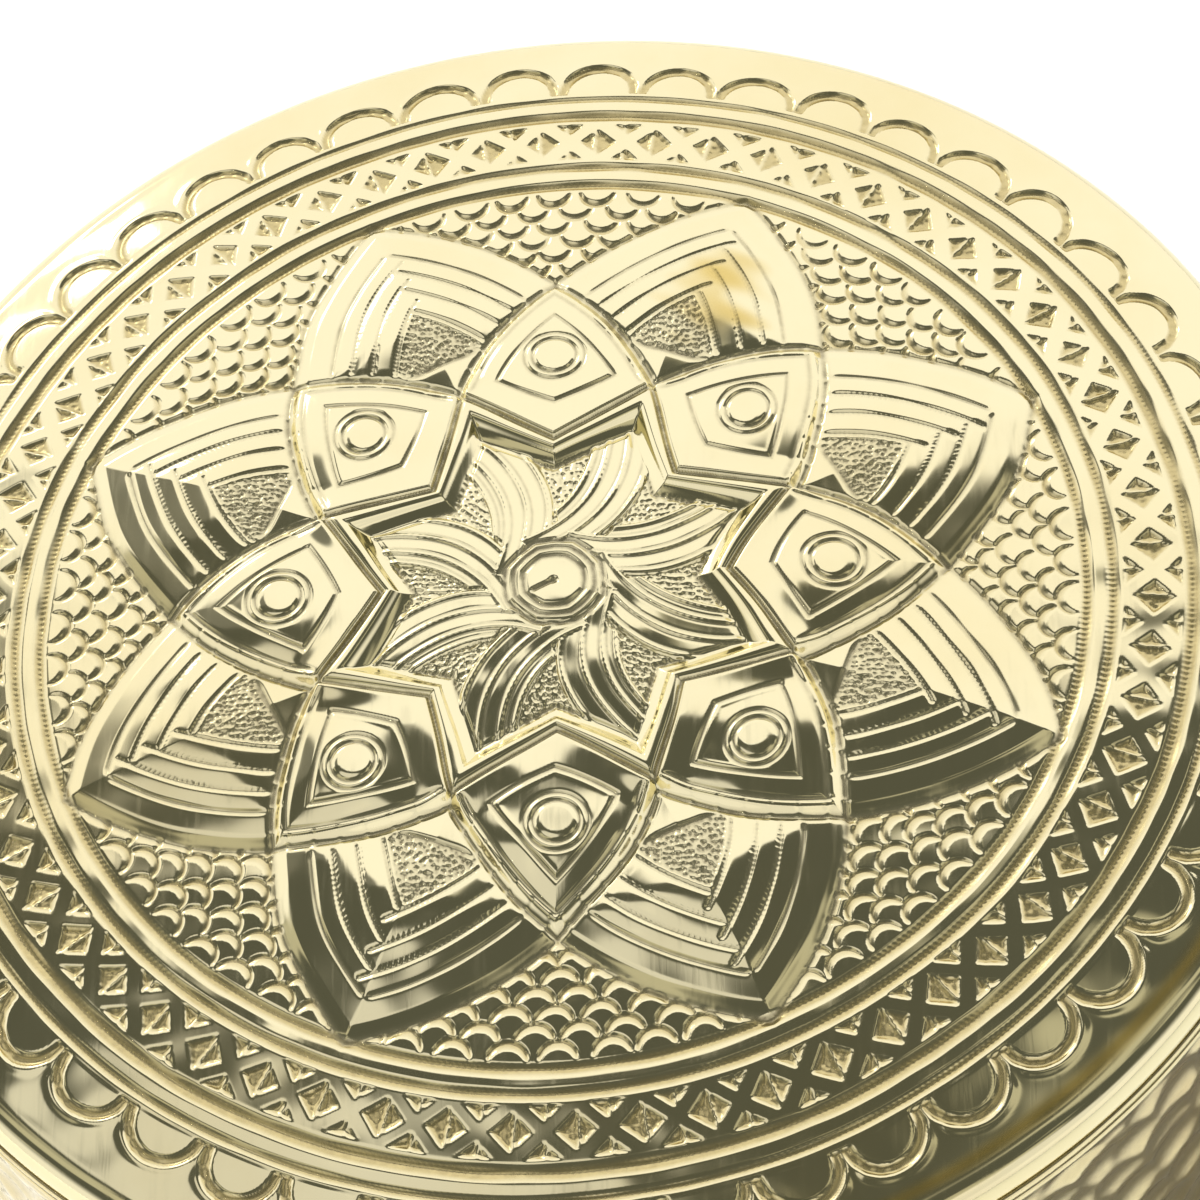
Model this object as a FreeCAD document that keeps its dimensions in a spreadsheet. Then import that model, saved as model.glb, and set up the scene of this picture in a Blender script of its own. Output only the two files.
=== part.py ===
import FreeCAD, Part
import Sketcher
import os
import re

# Driving sizes: lengths in millimetres, angles in degrees, shares of the box's radius, and counts.
# Heights of the lid's pieces are measured up from the mouth plane, where lid and box part.
SIZES = {
    # Sheet, solder and clearance
    "lid_sheet": 1.2,
    "wall_sheet": 1.0,
    "base_sheet": 1.2,
    "collar_sheet": 0.9,
    "solder_gap": 0.05,
    "collar_clearance": 0.3,
    "overrun": 5.0,
    # The drum
    "box_radius": 100.0,
    "box_height": 86.0,
    "base_lift": 1.5,
    "base_flange": 6.0,
    "base_bend": 1.2,
    # Half-round wires, soldered round the rims of lid, mouth and foot
    "wire_width": 1.4,
    "wire_proud": 0.5,
    "wire_gap": 0.3,
    "foot_width": 2.6,
    "foot_proud": 0.75,
    # The inner collar that keeps the lid centred
    "collar_depth": 9.0,
    # The lid's outline, from the edge inwards
    "skirt_drop": 2.2,
    "shoulder_radius": 4.0,
    "border_slope": 9.0,
    "lattice_slope": 5.3,
    "crown_rise": 0.5,
    "bead_width": 2.4,
    "bead_rise": 0.7,
    "bead_top_share": 0.45,
    "inner_bead_share": 0.705,
    "outer_bead_share": 0.841,
    # The raised rosette
    "petal_count": 8,
    "foot_share": 0.125,
    "hollow_rim": 3.6,
    "petal_notch_share": 0.509,
    "petal_tip_share": 0.684,
    "petal_tip_rise": 0.35,
    "petal_slope": 2.6,
    "petal_side_share": 0.50,
    "kite_tip_share": 0.504,
    "kite_notch_share": 0.338,
    "kite_flat_share": 0.30,
    "kite_crown_rise": 3.8,
    "kite_slope": 7.0,
    "kite_side_share": 0.42,
    # The star sunk in the middle, its boss and the buttons on the kites
    "star_point_share": 0.285,
    "star_corner_share": 0.205,
    "star_depth": 2.0,
    "star_wall_angle": 40.0,
    "boss_share": 0.046,
    "boss_rise": 0.8,
    "button_place_share": 0.363,
    "button_share": 0.031,
    "button_rise": 0.4,
}

# Lengths that several pieces share, worked out from the sizes
HALF_TURN = "180 deg / petal_count"
WALL_INSIDE = "(box_radius - wall_sheet)"
SHOULDER_X = "(box_radius - shoulder_radius + shoulder_radius * sin(border_slope * 1 deg))"
SHOULDER_Z = "(skirt_drop + shoulder_radius * cos(border_slope * 1 deg))"
INNER_BEAD = "(inner_bead_share * box_radius)"
OUTER_BEAD = "(outer_bead_share * box_radius)"
HALF_BEAD = "(bead_width / 2)"
OUTER_BAND_Z = f"({SHOULDER_Z} + ({SHOULDER_X} - {OUTER_BEAD} - {HALF_BEAD}) * tan(border_slope * 1 deg))"
BAND_RUN = f"({OUTER_BEAD} - {INNER_BEAD} - bead_width)"
BAND_Z = f"({OUTER_BAND_Z} + {BAND_RUN} * tan(lattice_slope * 1 deg))"
CROWN_Z = f"({BAND_Z} + crown_rise)"
PETAL_TIP = "(petal_tip_share * box_radius)"
PETAL_NOTCH = "(petal_notch_share * box_radius)"
KITE_TIP = "(kite_tip_share * box_radius)"
KITE_NOTCH = "(kite_notch_share * box_radius)"
KITE_FLAT = "(kite_flat_share * box_radius)"
PETAL_FOOT_Z = f"({BAND_Z} - foot_share * lid_sheet)"
PETAL_TIP_Z = f"({BAND_Z} + petal_tip_rise)"
PETAL_SLOPE = "tan(petal_slope * 1 deg)"
KITE_CROWN_Z = f"({BAND_Z} + kite_crown_rise)"
KITE_SLOPE = "tan(kite_slope * 1 deg)"
STAR_FLOOR_Z = f"({KITE_CROWN_Z} - star_depth)"
BUTTON_PLACE = "(button_place_share * box_radius)"

# Rough bows of the arcs, as shares of their chords, from which each radius is then solved
SIDE_BOW_SHARE = 0.07
CROWN_BOW_SHARE = 0.004

# Facets of the lid's round shoulder
SHOULDER_FACETS = 3

doc = FreeCAD.newDocument("brass_box")
sizes = doc.addObject("Spreadsheet::Sheet", "sizes")
for row, (name, number) in enumerate(SIZES.items(), start=1):
    sizes.set(f"A{row}", name)
    sizes.set(f"B{row}", str(number))
    sizes.setAlias(f"B{row}", name)
doc.recompute()


def bound(formula):
    """The formula with the sheet's name put before each size in it."""
    def with_sheet(word):
        return "sizes." + word.group() if word.group() in SIZES else word.group()
    return re.sub(r"[a-z_]+", with_sheet, formula)


def origin_part(body, role):
    """One of the body's own origin planes or axes."""
    return next(part for part in body.Origin.OriginFeatures if part.Role == role)


def new_body(label, lift="0"):
    """A named piece, standing at a height given by a formula."""
    body = doc.addObject("PartDesign::Body", label)
    body.Label = label
    body.setExpression("Placement.Base.z", bound(lift))
    return body


def new_sketch(body, name, role, lift="0"):
    """A sketch on one of the body's origin planes, lifted along the plane's normal."""
    sketch = body.newObject("Sketcher::SketchObject", name)
    sketch.AttachmentSupport = [(origin_part(body, role), "")]
    sketch.MapMode = "FlatFace"
    sketch.setExpression("AttachmentOffset.Base.z", bound(lift))
    return sketch


def pin_point(sketch, spot, kind, formula):
    """Holds a point at a formula's distance from the origin, or on the axis for zero."""
    axis = -2 if kind == "DistanceX" else -1
    if formula == "0":
        sketch.addConstraint(Sketcher.Constraint("PointOnObject", spot, 1, axis))
        return
    held = sketch.addConstraint(Sketcher.Constraint(kind, -1, 1, spot, 1, 1.0))
    sketch.setExpression(f"Constraints[{held}]", bound(formula))


def place_corners(sketch, corners):
    """Points of an outline, each a pair of formulas, solved before the edges are drawn."""
    spots = []
    for x_formula, y_formula in corners:
        spot = sketch.addGeometry(Part.Point(FreeCAD.Vector(1, 1, 0)), True)
        pin_point(sketch, spot, "DistanceX", x_formula)
        pin_point(sketch, spot, "DistanceY", y_formula)
        spots.append(spot)
    doc.recompute()
    return spots


def bowed_edge(start, end, bow_share):
    """An arc between two points whose bow is a share of the chord, to the left when positive."""
    chord = end - start
    left = FreeCAD.Vector(-chord.y, chord.x, 0)
    return Part.Arc(start, (start + end) / 2 + left * bow_share, end)


def draw_outline(sketch, corners, arcs=None):
    """A closed outline through the corners; arcs gives an edge its bow share and radius formula."""
    spots = place_corners(sketch, corners)
    points = [sketch.getPoint(spot, 1) for spot in spots]
    for edge, spot in enumerate(spots):
        after = (edge + 1) % len(spots)
        start, end = points[edge], points[after]
        if arcs and edge in arcs:
            bow_share, radius_formula = arcs[edge]
            line = sketch.addGeometry(bowed_edge(start, end, bow_share), False)
            ends = (1, 2) if bow_share < 0 else (2, 1)
            radius = sketch.Geometry[line].Radius
            held = sketch.addConstraint(Sketcher.Constraint("Radius", line, radius))
            sketch.setExpression(f"Constraints[{held}]", bound(radius_formula))
        else:
            line = sketch.addGeometry(Part.LineSegment(start, end), False)
            ends = (1, 2)
        sketch.addConstraint(Sketcher.Constraint("Coincident", line, ends[0], spot, 1))
        sketch.addConstraint(Sketcher.Constraint("Coincident", line, ends[1], spots[after], 1))


def draw_circle(sketch, place, radius_formula):
    """A circle whose centre is a formula's distance along the sketch's X axis."""
    spot = place_corners(sketch, [(place, "0")])[0]
    circle = Part.Circle(sketch.getPoint(spot, 1), FreeCAD.Vector(0, 0, 1), 1.0)
    line = sketch.addGeometry(circle, False)
    sketch.addConstraint(Sketcher.Constraint("Coincident", line, 3, spot, 1))
    held = sketch.addConstraint(Sketcher.Constraint("Radius", line, 1.0))
    sketch.setExpression(f"Constraints[{held}]", bound(radius_formula))


def turned(body, kind, name, corners, arcs=None):
    """A Revolution or Groove of an outline in radius and height about the body's upright axis."""
    sketch = new_sketch(body, name + "_profile", "XZ_Plane")
    draw_outline(sketch, corners, arcs)
    feature = body.newObject("PartDesign::" + kind, name)
    feature.Profile = sketch
    feature.ReferenceAxis = (sketch, ["V_Axis"])
    feature.Angle = 360
    doc.recompute()
    if kind == "Groove":
        check_cut(feature)


def check_cut(feature):
    """Stops the build if a cut took nothing away."""
    if not feature.Shape.Volume < feature.BaseFeature.Shape.Volume:
        raise RuntimeError(f"{feature.Name} cuts nothing")


def padded(body, name, sketch, height):
    """A pad of a sketch, its height given by a formula."""
    pad = body.newObject("PartDesign::Pad", name)
    pad.Profile = sketch
    pad.setExpression("Length", bound(height))
    doc.recompute()
    return pad


def repeated(body, feature, name):
    """The feature set round the upright axis, once for each petal."""
    pattern = body.newObject("PartDesign::PolarPattern", name)
    pattern.Originals = [feature]
    pattern.Axis = (origin_part(body, "Z_Axis"), [""])
    pattern.Angle = 360
    pattern.setExpression("Occurrences", bound("petal_count"))
    body.Tip = pattern
    doc.recompute()


def around(radius, turn):
    """Corner at a radius, turned from the X axis by a formula for the angle."""
    return (f"{radius} * cos({turn})", f"{radius} * sin({turn})")


def rounded(centre, radius, start, end, facets):
    """Corners on a round about a centre, from a start to an end angle, each given by a formula."""
    turns = [f"({start} + ({end} - {start}) * {step} / {facets})" for step in range(facets + 1)]
    x, z = centre
    return [(f"{x} + {radius} * cos({turn})", f"{z} + {radius} * sin({turn})") for turn in turns]


def bead(middle, foot):
    """The corners of a flat-topped bead that stands on a ring of the sheet."""
    half_top = f"bead_top_share * {HALF_BEAD}"
    return [
        (f"{middle} - {HALF_BEAD}", foot),
        (f"{middle} - {half_top}", f"{foot} + bead_rise"),
        (f"{middle} + {half_top}", f"{foot} + bead_rise"),
        (f"{middle} + {HALF_BEAD}", foot),
    ]


def lid_sheet_blank(body):
    """The turned sheet: crown, two beaded rings, sloping border, round shoulder and short skirt."""
    inner_x = "(box_radius - lid_sheet)"
    under_x = "(box_radius - shoulder_radius + (shoulder_radius - lid_sheet) * sin(border_slope * 1 deg))"
    under_z = "(skirt_drop + (shoulder_radius - lid_sheet) * cos(border_slope * 1 deg))"
    shoulder_centre = ("box_radius - shoulder_radius", "skirt_drop")
    shoulder_start = "(90 deg - border_slope * 1 deg)"
    bead_start = f"{INNER_BEAD} - {HALF_BEAD}"
    crown_radius = f"(({bead_start}) ^ 2 + crown_rise ^ 2) / (2 * crown_rise)"
    corners = [
        ("0", CROWN_Z),
        *bead(INNER_BEAD, BAND_Z),
        *bead(OUTER_BEAD, OUTER_BAND_Z),
        *rounded(shoulder_centre, "shoulder_radius", shoulder_start, "0 deg", SHOULDER_FACETS),
        ("box_radius", "0"),
        (inner_x, "0"),
        (inner_x, "skirt_drop"),
        (under_x, under_z),
        (OUTER_BEAD, f"{OUTER_BAND_Z} - lid_sheet"),
        (INNER_BEAD, f"{BAND_Z} - lid_sheet"),
        ("0", f"{BAND_Z} - lid_sheet"),
    ]
    turned(body, "Revolution", "sheet", corners, {0: (CROWN_BOW_SHARE, crown_radius)})


def lid_petals(body):
    """The large outer petals, half a turn off the kites, raised and sloping down to their tips."""
    sketch = new_sketch(body, "petal_outline", "XY_Plane", PETAL_FOOT_Z)
    corners = [
        around(KITE_FLAT, f"2 * {HALF_TURN}"),
        (KITE_FLAT, "0"),
        (PETAL_NOTCH, "0"),
        around(PETAL_TIP, HALF_TURN),
        around(PETAL_NOTCH, f"2 * {HALF_TURN}"),
    ]
    side = "petal_side_share * box_radius"
    draw_outline(sketch, corners, {2: (-SIDE_BOW_SHARE, side), 3: (-SIDE_BOW_SHARE, side)})
    petal = padded(body, "petal", sketch, "kite_crown_rise + overrun")
    repeated(body, petal, "petals")
    top = f"{KITE_CROWN_Z} + overrun"
    turned(body, "Groove", "petal_tops", [
        ("0", f"{PETAL_TIP_Z} + {PETAL_TIP} * {PETAL_SLOPE}"),
        (PETAL_TIP, PETAL_TIP_Z),
        (PETAL_TIP, top),
        ("0", top),
    ])


def lid_kites(body):
    """The ring of pointed inner petals, standing higher and level round the middle."""
    sketch = new_sketch(body, "kite_outline", "XY_Plane", PETAL_FOOT_Z)
    corners = [
        ("0", "0"),
        around(KITE_NOTCH, f"-{HALF_TURN}"),
        (KITE_TIP, "0"),
        around(KITE_NOTCH, HALF_TURN),
    ]
    side = "kite_side_share * box_radius"
    draw_outline(sketch, corners, {1: (-SIDE_BOW_SHARE, side), 2: (-SIDE_BOW_SHARE, side)})
    kite = padded(body, "kite", sketch, "kite_crown_rise + overrun")
    repeated(body, kite, "kites")
    drop = f"({KITE_TIP} - {KITE_FLAT}) * {KITE_SLOPE}"
    top = f"{KITE_CROWN_Z} + overrun"
    turned(body, "Groove", "kite_tops", [
        ("0", KITE_CROWN_Z),
        (KITE_FLAT, KITE_CROWN_Z),
        (KITE_TIP, f"{KITE_CROWN_Z} - {drop}"),
        (KITE_TIP, top),
        ("0", top),
    ])


def lid_star(body):
    """The star sunk into the middle of the kites, with sloping walls, and the boss at its centre."""
    sketch = new_sketch(body, "star_outline", "XY_Plane", KITE_CROWN_Z)
    corners = []
    for point in range(SIZES["petal_count"]):
        corners.append(around("star_corner_share * box_radius", f"{2 * point} * {HALF_TURN}"))
        corners.append(around("star_point_share * box_radius", f"{2 * point + 1} * {HALF_TURN}"))
    draw_outline(sketch, corners)
    star = body.newObject("PartDesign::Pocket", "star")
    star.Profile = sketch
    star.setExpression("Length", bound("star_depth"))
    star.setExpression("TaperAngle", bound("-star_wall_angle"))
    doc.recompute()
    check_cut(star)
    boss = new_sketch(body, "boss_outline", "XY_Plane", STAR_FLOOR_Z)
    draw_circle(boss, "0", "boss_share * box_radius")
    padded(body, "boss", boss, "boss_rise")


def lid_buttons(body):
    """The low round button on each kite."""
    sketch = new_sketch(body, "button_outline", "XY_Plane", PETAL_FOOT_Z)
    draw_circle(sketch, BUTTON_PLACE, "button_share * box_radius")
    drop = f"({BUTTON_PLACE} - {KITE_FLAT}) * {KITE_SLOPE}"
    height = f"{KITE_CROWN_Z} - {drop} + button_rise - {PETAL_FOOT_Z}"
    button = padded(body, "button", sketch, height)
    repeated(body, button, "buttons")


def lid_hollow(body):
    """The hollow that raising the rosette leaves on the inside of the sheet."""
    rim = f"({KITE_TIP} - hollow_rim)"
    low = f"{BAND_Z} - lid_sheet - overrun"
    ceiling = f"{PETAL_TIP_Z} + ({PETAL_TIP} - {rim}) * {PETAL_SLOPE} - lid_sheet"
    turned(body, "Groove", "hollow", [("0", low), (rim, low), (rim, ceiling), ("0", ceiling)])


def lid_cap():
    """The lid: one sheet turned to shape, its rosette raised from behind and chased from the front."""
    body = new_body("lid_cap", "box_height")
    lid_sheet_blank(body)
    lid_petals(body)
    lid_kites(body)
    lid_star(body)
    lid_buttons(body)
    lid_hollow(body)
    return body


def lid_collar():
    """The hoop soldered inside the lid's skirt; it slides into the mouth and keeps the lid centred."""
    body = new_body("lid_collar", "box_height")
    outside = f"min({WALL_INSIDE} - collar_clearance; box_radius - lid_sheet - solder_gap)"
    turned(body, "Revolution", "hoop", [
        (f"{outside} - collar_sheet", "-collar_depth"),
        (outside, "-collar_depth"),
        (outside, "skirt_drop"),
        (f"{outside} - collar_sheet", "skirt_drop"),
    ])
    return body


def edge_wire(label, lift, foot, width, proud):
    """A half-round wire round the drum: flat on the wall, its round drawn as two slopes."""
    body = new_body(label, lift)
    inside = "(box_radius + solder_gap)"
    turned(body, "Revolution", label + "_ring", [
        (inside, foot),
        (f"{inside} + {proud}", f"{foot} + {width} / 2"),
        (inside, f"{foot} + {width}"),
    ])
    return body


def body_wall():
    """The drum: sheet rolled to a hoop and soldered along one upright seam."""
    body = new_body("body_wall")
    turned(body, "Revolution", "drum", [
        (WALL_INSIDE, "0"),
        ("box_radius", "0"),
        ("box_radius", "box_height"),
        (WALL_INSIDE, "box_height"),
    ])
    return body


def base_plate():
    """The bottom: a disc with its edge turned up, soldered to the inside of the drum."""
    body = new_body("base_plate", "base_lift")
    outside = f"({WALL_INSIDE} - solder_gap)"
    turned(body, "Revolution", "pan", [
        ("0", "0"),
        (f"{outside} - base_bend", "0"),
        (outside, "base_bend"),
        (outside, "base_flange"),
        (f"{outside} - base_sheet", "base_flange"),
        (f"{outside} - base_sheet", "base_sheet"),
        ("0", "base_sheet"),
    ])
    return body


pieces = [
    lid_cap(),
    lid_collar(),
    edge_wire("lid_edge_wire", "box_height", "wire_gap", "wire_width", "wire_proud"),
    body_wall(),
    edge_wire("mouth_wire", "box_height", "(-wire_gap - wire_width)", "wire_width", "wire_proud"),
    base_plate(),
    edge_wire("foot_wire", "0", "wire_gap", "foot_width", "foot_proud"),
]
doc.recompute()
for thing in doc.Objects:
    if "Invalid" in thing.State or "Error" in thing.State:
        raise RuntimeError(f"{thing.Label} failed: {thing.State}")
for piece in pieces:
    if piece.Shape.isNull() or not piece.Shape.isValid():
        raise RuntimeError(f"{piece.Label} has no valid shape")
os.makedirs("parts", exist_ok=True)
for piece in pieces:
    piece.Shape.exportStep(f"parts/{piece.Label}.step")
    print(piece.Label, len(piece.Shape.Solids), "solid", round(piece.Shape.Volume), "cubic mm")
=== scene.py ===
# %% [markdown]
# # A brass box with a chased lid
#
# A coppersmith makes this box from sheet and wire. The drum is sheet rolled to a hoop and planished
# with a hammer. The lid is one sheet: its rosette is pushed up from behind and then chased, which
# means drawn with punches from the front, against a bed of pitch. Here the solid model is the frame,
# and each piece of sheet and wire is made again as a mesh that carries the marks of the tools.

# %% Load the frame
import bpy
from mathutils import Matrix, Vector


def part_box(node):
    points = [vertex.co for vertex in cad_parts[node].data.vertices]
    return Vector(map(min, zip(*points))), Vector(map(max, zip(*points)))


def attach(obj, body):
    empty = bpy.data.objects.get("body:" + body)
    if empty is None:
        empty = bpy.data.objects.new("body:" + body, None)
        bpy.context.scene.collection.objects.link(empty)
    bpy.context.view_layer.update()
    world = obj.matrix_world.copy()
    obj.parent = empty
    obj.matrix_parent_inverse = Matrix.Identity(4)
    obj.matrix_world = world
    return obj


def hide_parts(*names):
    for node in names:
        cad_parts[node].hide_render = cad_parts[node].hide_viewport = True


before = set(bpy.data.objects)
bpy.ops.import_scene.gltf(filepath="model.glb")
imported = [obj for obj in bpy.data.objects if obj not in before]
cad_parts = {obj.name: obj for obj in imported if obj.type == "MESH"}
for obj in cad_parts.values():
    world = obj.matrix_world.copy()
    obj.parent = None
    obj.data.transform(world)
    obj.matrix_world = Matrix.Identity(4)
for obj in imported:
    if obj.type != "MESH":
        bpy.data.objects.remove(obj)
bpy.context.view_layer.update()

import math

import bpy
import numpy as np
from mathutils import Matrix, Vector

print("pieces of the frame:", ", ".join(sorted(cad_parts)))

# %% [markdown]
# ## Sizes
#
# Blender works in metres and a metalworker in millimetres, so the shapes below are worked out in
# millimetres and turned into metres when a mesh is made. Every size starts from the boxes round
# the solid pieces. The pattern was drawn with a pair of compasses, so its sizes are shares of one
# span: the distance from the centre to the tip of a kite. How deep a mark is goes by the hair: a
# thousandth of the radius, which is a tenth of a millimetre on this box.

# %% Sizes from the frame
MM = 0.001
PETALS = 8
SECTOR = 2 * math.pi / PETALS


def corners_mm(node):
    """Lowest and highest corner of a solid piece, in millimetres."""
    low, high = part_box(node)
    return np.array(low) / MM, np.array(high) / MM


lid_low, lid_high = corners_mm("lid_cap")
BOX_R = lid_high[0]
MOUTH_Z = lid_low[2]
LID_TOP = lid_high[2] - MOUTH_Z
SHEET = 0.012 * BOX_R
SPAN = 0.504 * BOX_R
HAIR = 0.001 * BOX_R
print(f"radius {BOX_R:.1f} mm, mouth at {MOUTH_Z:.1f} mm, lid {LID_TOP:.2f} mm high, span {SPAN:.1f} mm")

# %% [markdown]
# ## Small helpers for shapes
#
# The lid is a height above the mouth for each place on the sheet, as a relief is. Chased work is
# made of a few kinds of mark: steps with soft edges, lines, ridges and dots. Each is a short
# function of a distance, so that a line on the lid is only a formula for how far away it is.

# %% Marks as functions of a distance


def ease(low, high, value):
    """Runs smoothly from 0 at low to 1 at high."""
    share = np.clip((value - low) / (high - low), 0.0, 1.0)
    return share * share * (3.0 - 2.0 * share)


def ridge(distance, width):
    """A soft round ridge, 1 high on its line."""
    return np.exp(-(distance / width) ** 2)


def drawn(distance, marks):
    """Grooves and ridges that follow an outline: place and width in spans, height in hairs."""
    lines = [height * HAIR * ridge(distance - place * SPAN, width * SPAN) for place, width, height in marks]
    return sum(lines)


def strokes(run, pitch):
    """The dents that a punch leaves when it is walked along a line, from 0 to 1."""
    return 0.5 + 0.5 * np.cos(2 * math.pi * run / pitch)


def walked(run, pitch, share):
    """How deep a punched line is along its run: 1 in each dent, and less by a share between them."""
    return 1.0 - share + share * strokes(run, pitch)


def cut_across(run, pitch, sharpness, share):
    """1 along an edge, and less by a share at the short cuts across it."""
    return 1.0 - share * strokes(run, pitch) ** sharpness


def soft_min(one, two, width):
    """The smaller of two values, rounded off where they are about the same."""
    share = np.clip(0.5 + 0.5 * (two - one) / width, 0.0, 1.0)
    return two + (one - two) * share - width * share * (1.0 - share)


def blend(under, over, share):
    """Goes from one height to another by a share from 0 to 1."""
    return under + (over - under) * share


SOFT = 0.02 * SPAN
print(f"a hair is {HAIR:.2f} mm, and most marks fade out over {SOFT:.2f} mm")

# %% Folding and outlines


def fold(x, y, first):
    """Place along and across the nearest of eight axes, of which one is at the angle first."""
    radius = np.hypot(x, y)
    swing = (np.arctan2(y, x) - first + SECTOR / 2) % SECTOR - SECTOR / 2
    return radius * np.cos(swing), radius * np.sin(swing)


def turned(x, y, angle):
    """Place along and across one axis at an angle."""
    return x * math.cos(angle) + y * math.sin(angle), y * math.cos(angle) - x * math.sin(angle)


def around(radius, swing):
    """A point at a radius, turned off its axis by an angle."""
    return radius * math.cos(swing), radius * math.sin(swing)


def inside_bow(along, across, start, end, middle, radius):
    """How far inside a bowed edge a place lies, and how far along that edge."""
    start, end, middle = np.array(start), np.array(end), np.array(middle)
    chord = end - start
    half = np.hypot(*chord) / 2
    inward = np.array((-chord[1], chord[0])) / (2 * half)
    if inward @ (middle - start) < 0:
        inward = -inward
    centre = (start + end) / 2 + inward * math.sqrt(radius ** 2 - half ** 2)
    run = radius * np.arctan2(across - centre[1], along - centre[0])
    return radius - np.hypot(along - centre[0], across - centre[1]), run


def inside_line(along, across, start, end):
    """How far a place lies on the centre's side of a straight line."""
    (x0, y0), (x1, y1) = start, end
    length = math.hypot(x1 - x0, y1 - y0)
    side = ((x1 - x0) * (across - y0) - (y1 - y0) * (along - x0)) / length
    centre = ((x1 - x0) * -y0 - (y1 - y0) * -x0) / length
    return side * math.copysign(1.0, centre)


print(f"the pattern repeats every {math.degrees(SECTOR):.0f} degrees")

# %% [markdown]
# ## The hand in the work
#
# Nothing on the lid is quite regular: lines wander a little, punches are struck harder or softer,
# and the sheet keeps a faint ripple from the hammer. A few long sine waves in random directions
# give that. The random numbers have a fixed seed, so the box comes out the same each time.

# %% Waves and dots
hand = np.random.default_rng(8)


def ripple(x, y, shortest, longest, count=7):
    """A smooth random wave over the sheet, about 1 high."""
    total = np.zeros_like(x)
    for _ in range(count):
        heading, phase = hand.uniform(0, 2 * math.pi, 2)
        turns = 2 * math.pi / hand.uniform(shortest, longest)
        total += np.sin(turns * (x * math.cos(heading) + y * math.sin(heading)) + phase)
    return total / math.sqrt(count / 2)


STIPPLE_CELLS = 64
STIPPLE_PITCH = 0.0155 * SPAN
DOT_WIDTH = math.sqrt(0.13)
stipple_places = hand.uniform(0.12, 0.88, (STIPPLE_CELLS, STIPPLE_CELLS, 2))
stipple_force = hand.uniform(0.5, 1.0, (STIPPLE_CELLS, STIPPLE_CELLS))


def stipple(x, y, pitch):
    """A field of round punch dots, 1 deep in the middle of the hardest struck."""
    column, row = np.floor(x / pitch).astype(int), np.floor(y / pitch).astype(int)
    deepest = np.zeros_like(x)
    for step_x in (-1, 0, 1):
        for step_y in (-1, 0, 1):
            cell = ((column + step_x) % STIPPLE_CELLS, (row + step_y) % STIPPLE_CELLS)
            place = stipple_places[cell]
            away_x = x / pitch - (column + step_x + place[:, 0])
            away_y = y / pitch - (row + step_y + place[:, 1])
            dot = stipple_force[cell] * ridge(np.hypot(away_x, away_y), DOT_WIDTH)
            deepest = np.maximum(deepest, dot)
    return deepest


def stipple_where(mask, x, y, pitch=STIPPLE_PITCH):
    """Punch dots, worked out only where the mask lets them show."""
    dots = np.zeros_like(x)
    here = mask > 0.01
    dots[here] = stipple(x[here], y[here], pitch)
    return dots * mask


print(f"{stipple_force.size} dots of chance, {STIPPLE_PITCH:.2f} mm apart")

# %% [markdown]
# ## The lid's main forms
#
# From the edge inwards the sheet has a short skirt, a round shoulder, a sloping border, a band for
# the lattice and a low crown. On the crown stand eight large petals, and over them eight kites, half
# a turn off. The kites are highest round a star that is sunk in the middle. A raised shape is no
# plateau: its edges were pushed down again from the front, so it falls away to its outline.

# %% Profile of the sheet
SKIRT = 0.022 * BOX_R
SHOULDER = 0.040 * BOX_R
INNER_RING = 0.705 * BOX_R
OUTER_RING = 0.841 * BOX_R
RING_HALF = 0.012 * BOX_R
BORDER_SLOPE = math.radians(9.0)
BAND_SLOPE = math.radians(5.3)
CROWN = 0.014 * BOX_R
SHOULDER_X = BOX_R - SHOULDER + SHOULDER * math.sin(BORDER_SLOPE)
SHOULDER_Z = SKIRT + SHOULDER * math.cos(BORDER_SLOPE)
OUTER_BAND_Z = SHOULDER_Z + (SHOULDER_X - OUTER_RING - RING_HALF) * math.tan(BORDER_SLOPE)
BAND_Z = OUTER_BAND_Z + (OUTER_RING - INNER_RING - 2 * RING_HALF) * math.tan(BAND_SLOPE)
sheet_knots = [INNER_RING - RING_HALF, INNER_RING + RING_HALF, OUTER_RING - RING_HALF, SHOULDER_X]
sheet_levels = [BAND_Z, BAND_Z, OUTER_BAND_Z + RING_HALF * math.tan(BORDER_SLOPE), SHOULDER_Z]


def sheet_height(radius):
    """Height of the plain sheet above the mouth, inside the shoulder."""
    crown = CROWN * np.clip(1.0 - (radius / sheet_knots[0]) ** 2, 0.0, None)
    return np.interp(radius, sheet_knots, sheet_levels) + crown


print(f"border starts {SHOULDER_Z:.2f} mm up, crown is {BAND_Z + CROWN:.2f} mm up")

# %% Outlines of the rosette
PETAL_TIP = 1.357 * SPAN
PETAL_NOTCH = around(1.010 * SPAN, SECTOR / 2)
PETAL_BOW = 0.992 * SPAN
KITE_NOTCH = 0.671 * SPAN
KITE_BOW = 0.833 * SPAN
STAR_CORNER = around(0.407 * SPAN, SECTOR / 2)
STAR_POINT = (0.565 * SPAN, 0.0)
CREST_CORNER = around(0.452 * SPAN, SECTOR / 2)
CREST_POINT = (0.662 * SPAN, 0.0)


def petal_side(along, across):
    """How far inside one bowed side of a petal a place lies, and how far along that side."""
    return inside_bow(along, across, PETAL_NOTCH, (PETAL_TIP, 0.0), (SPAN, 0.0), PETAL_BOW)


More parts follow.
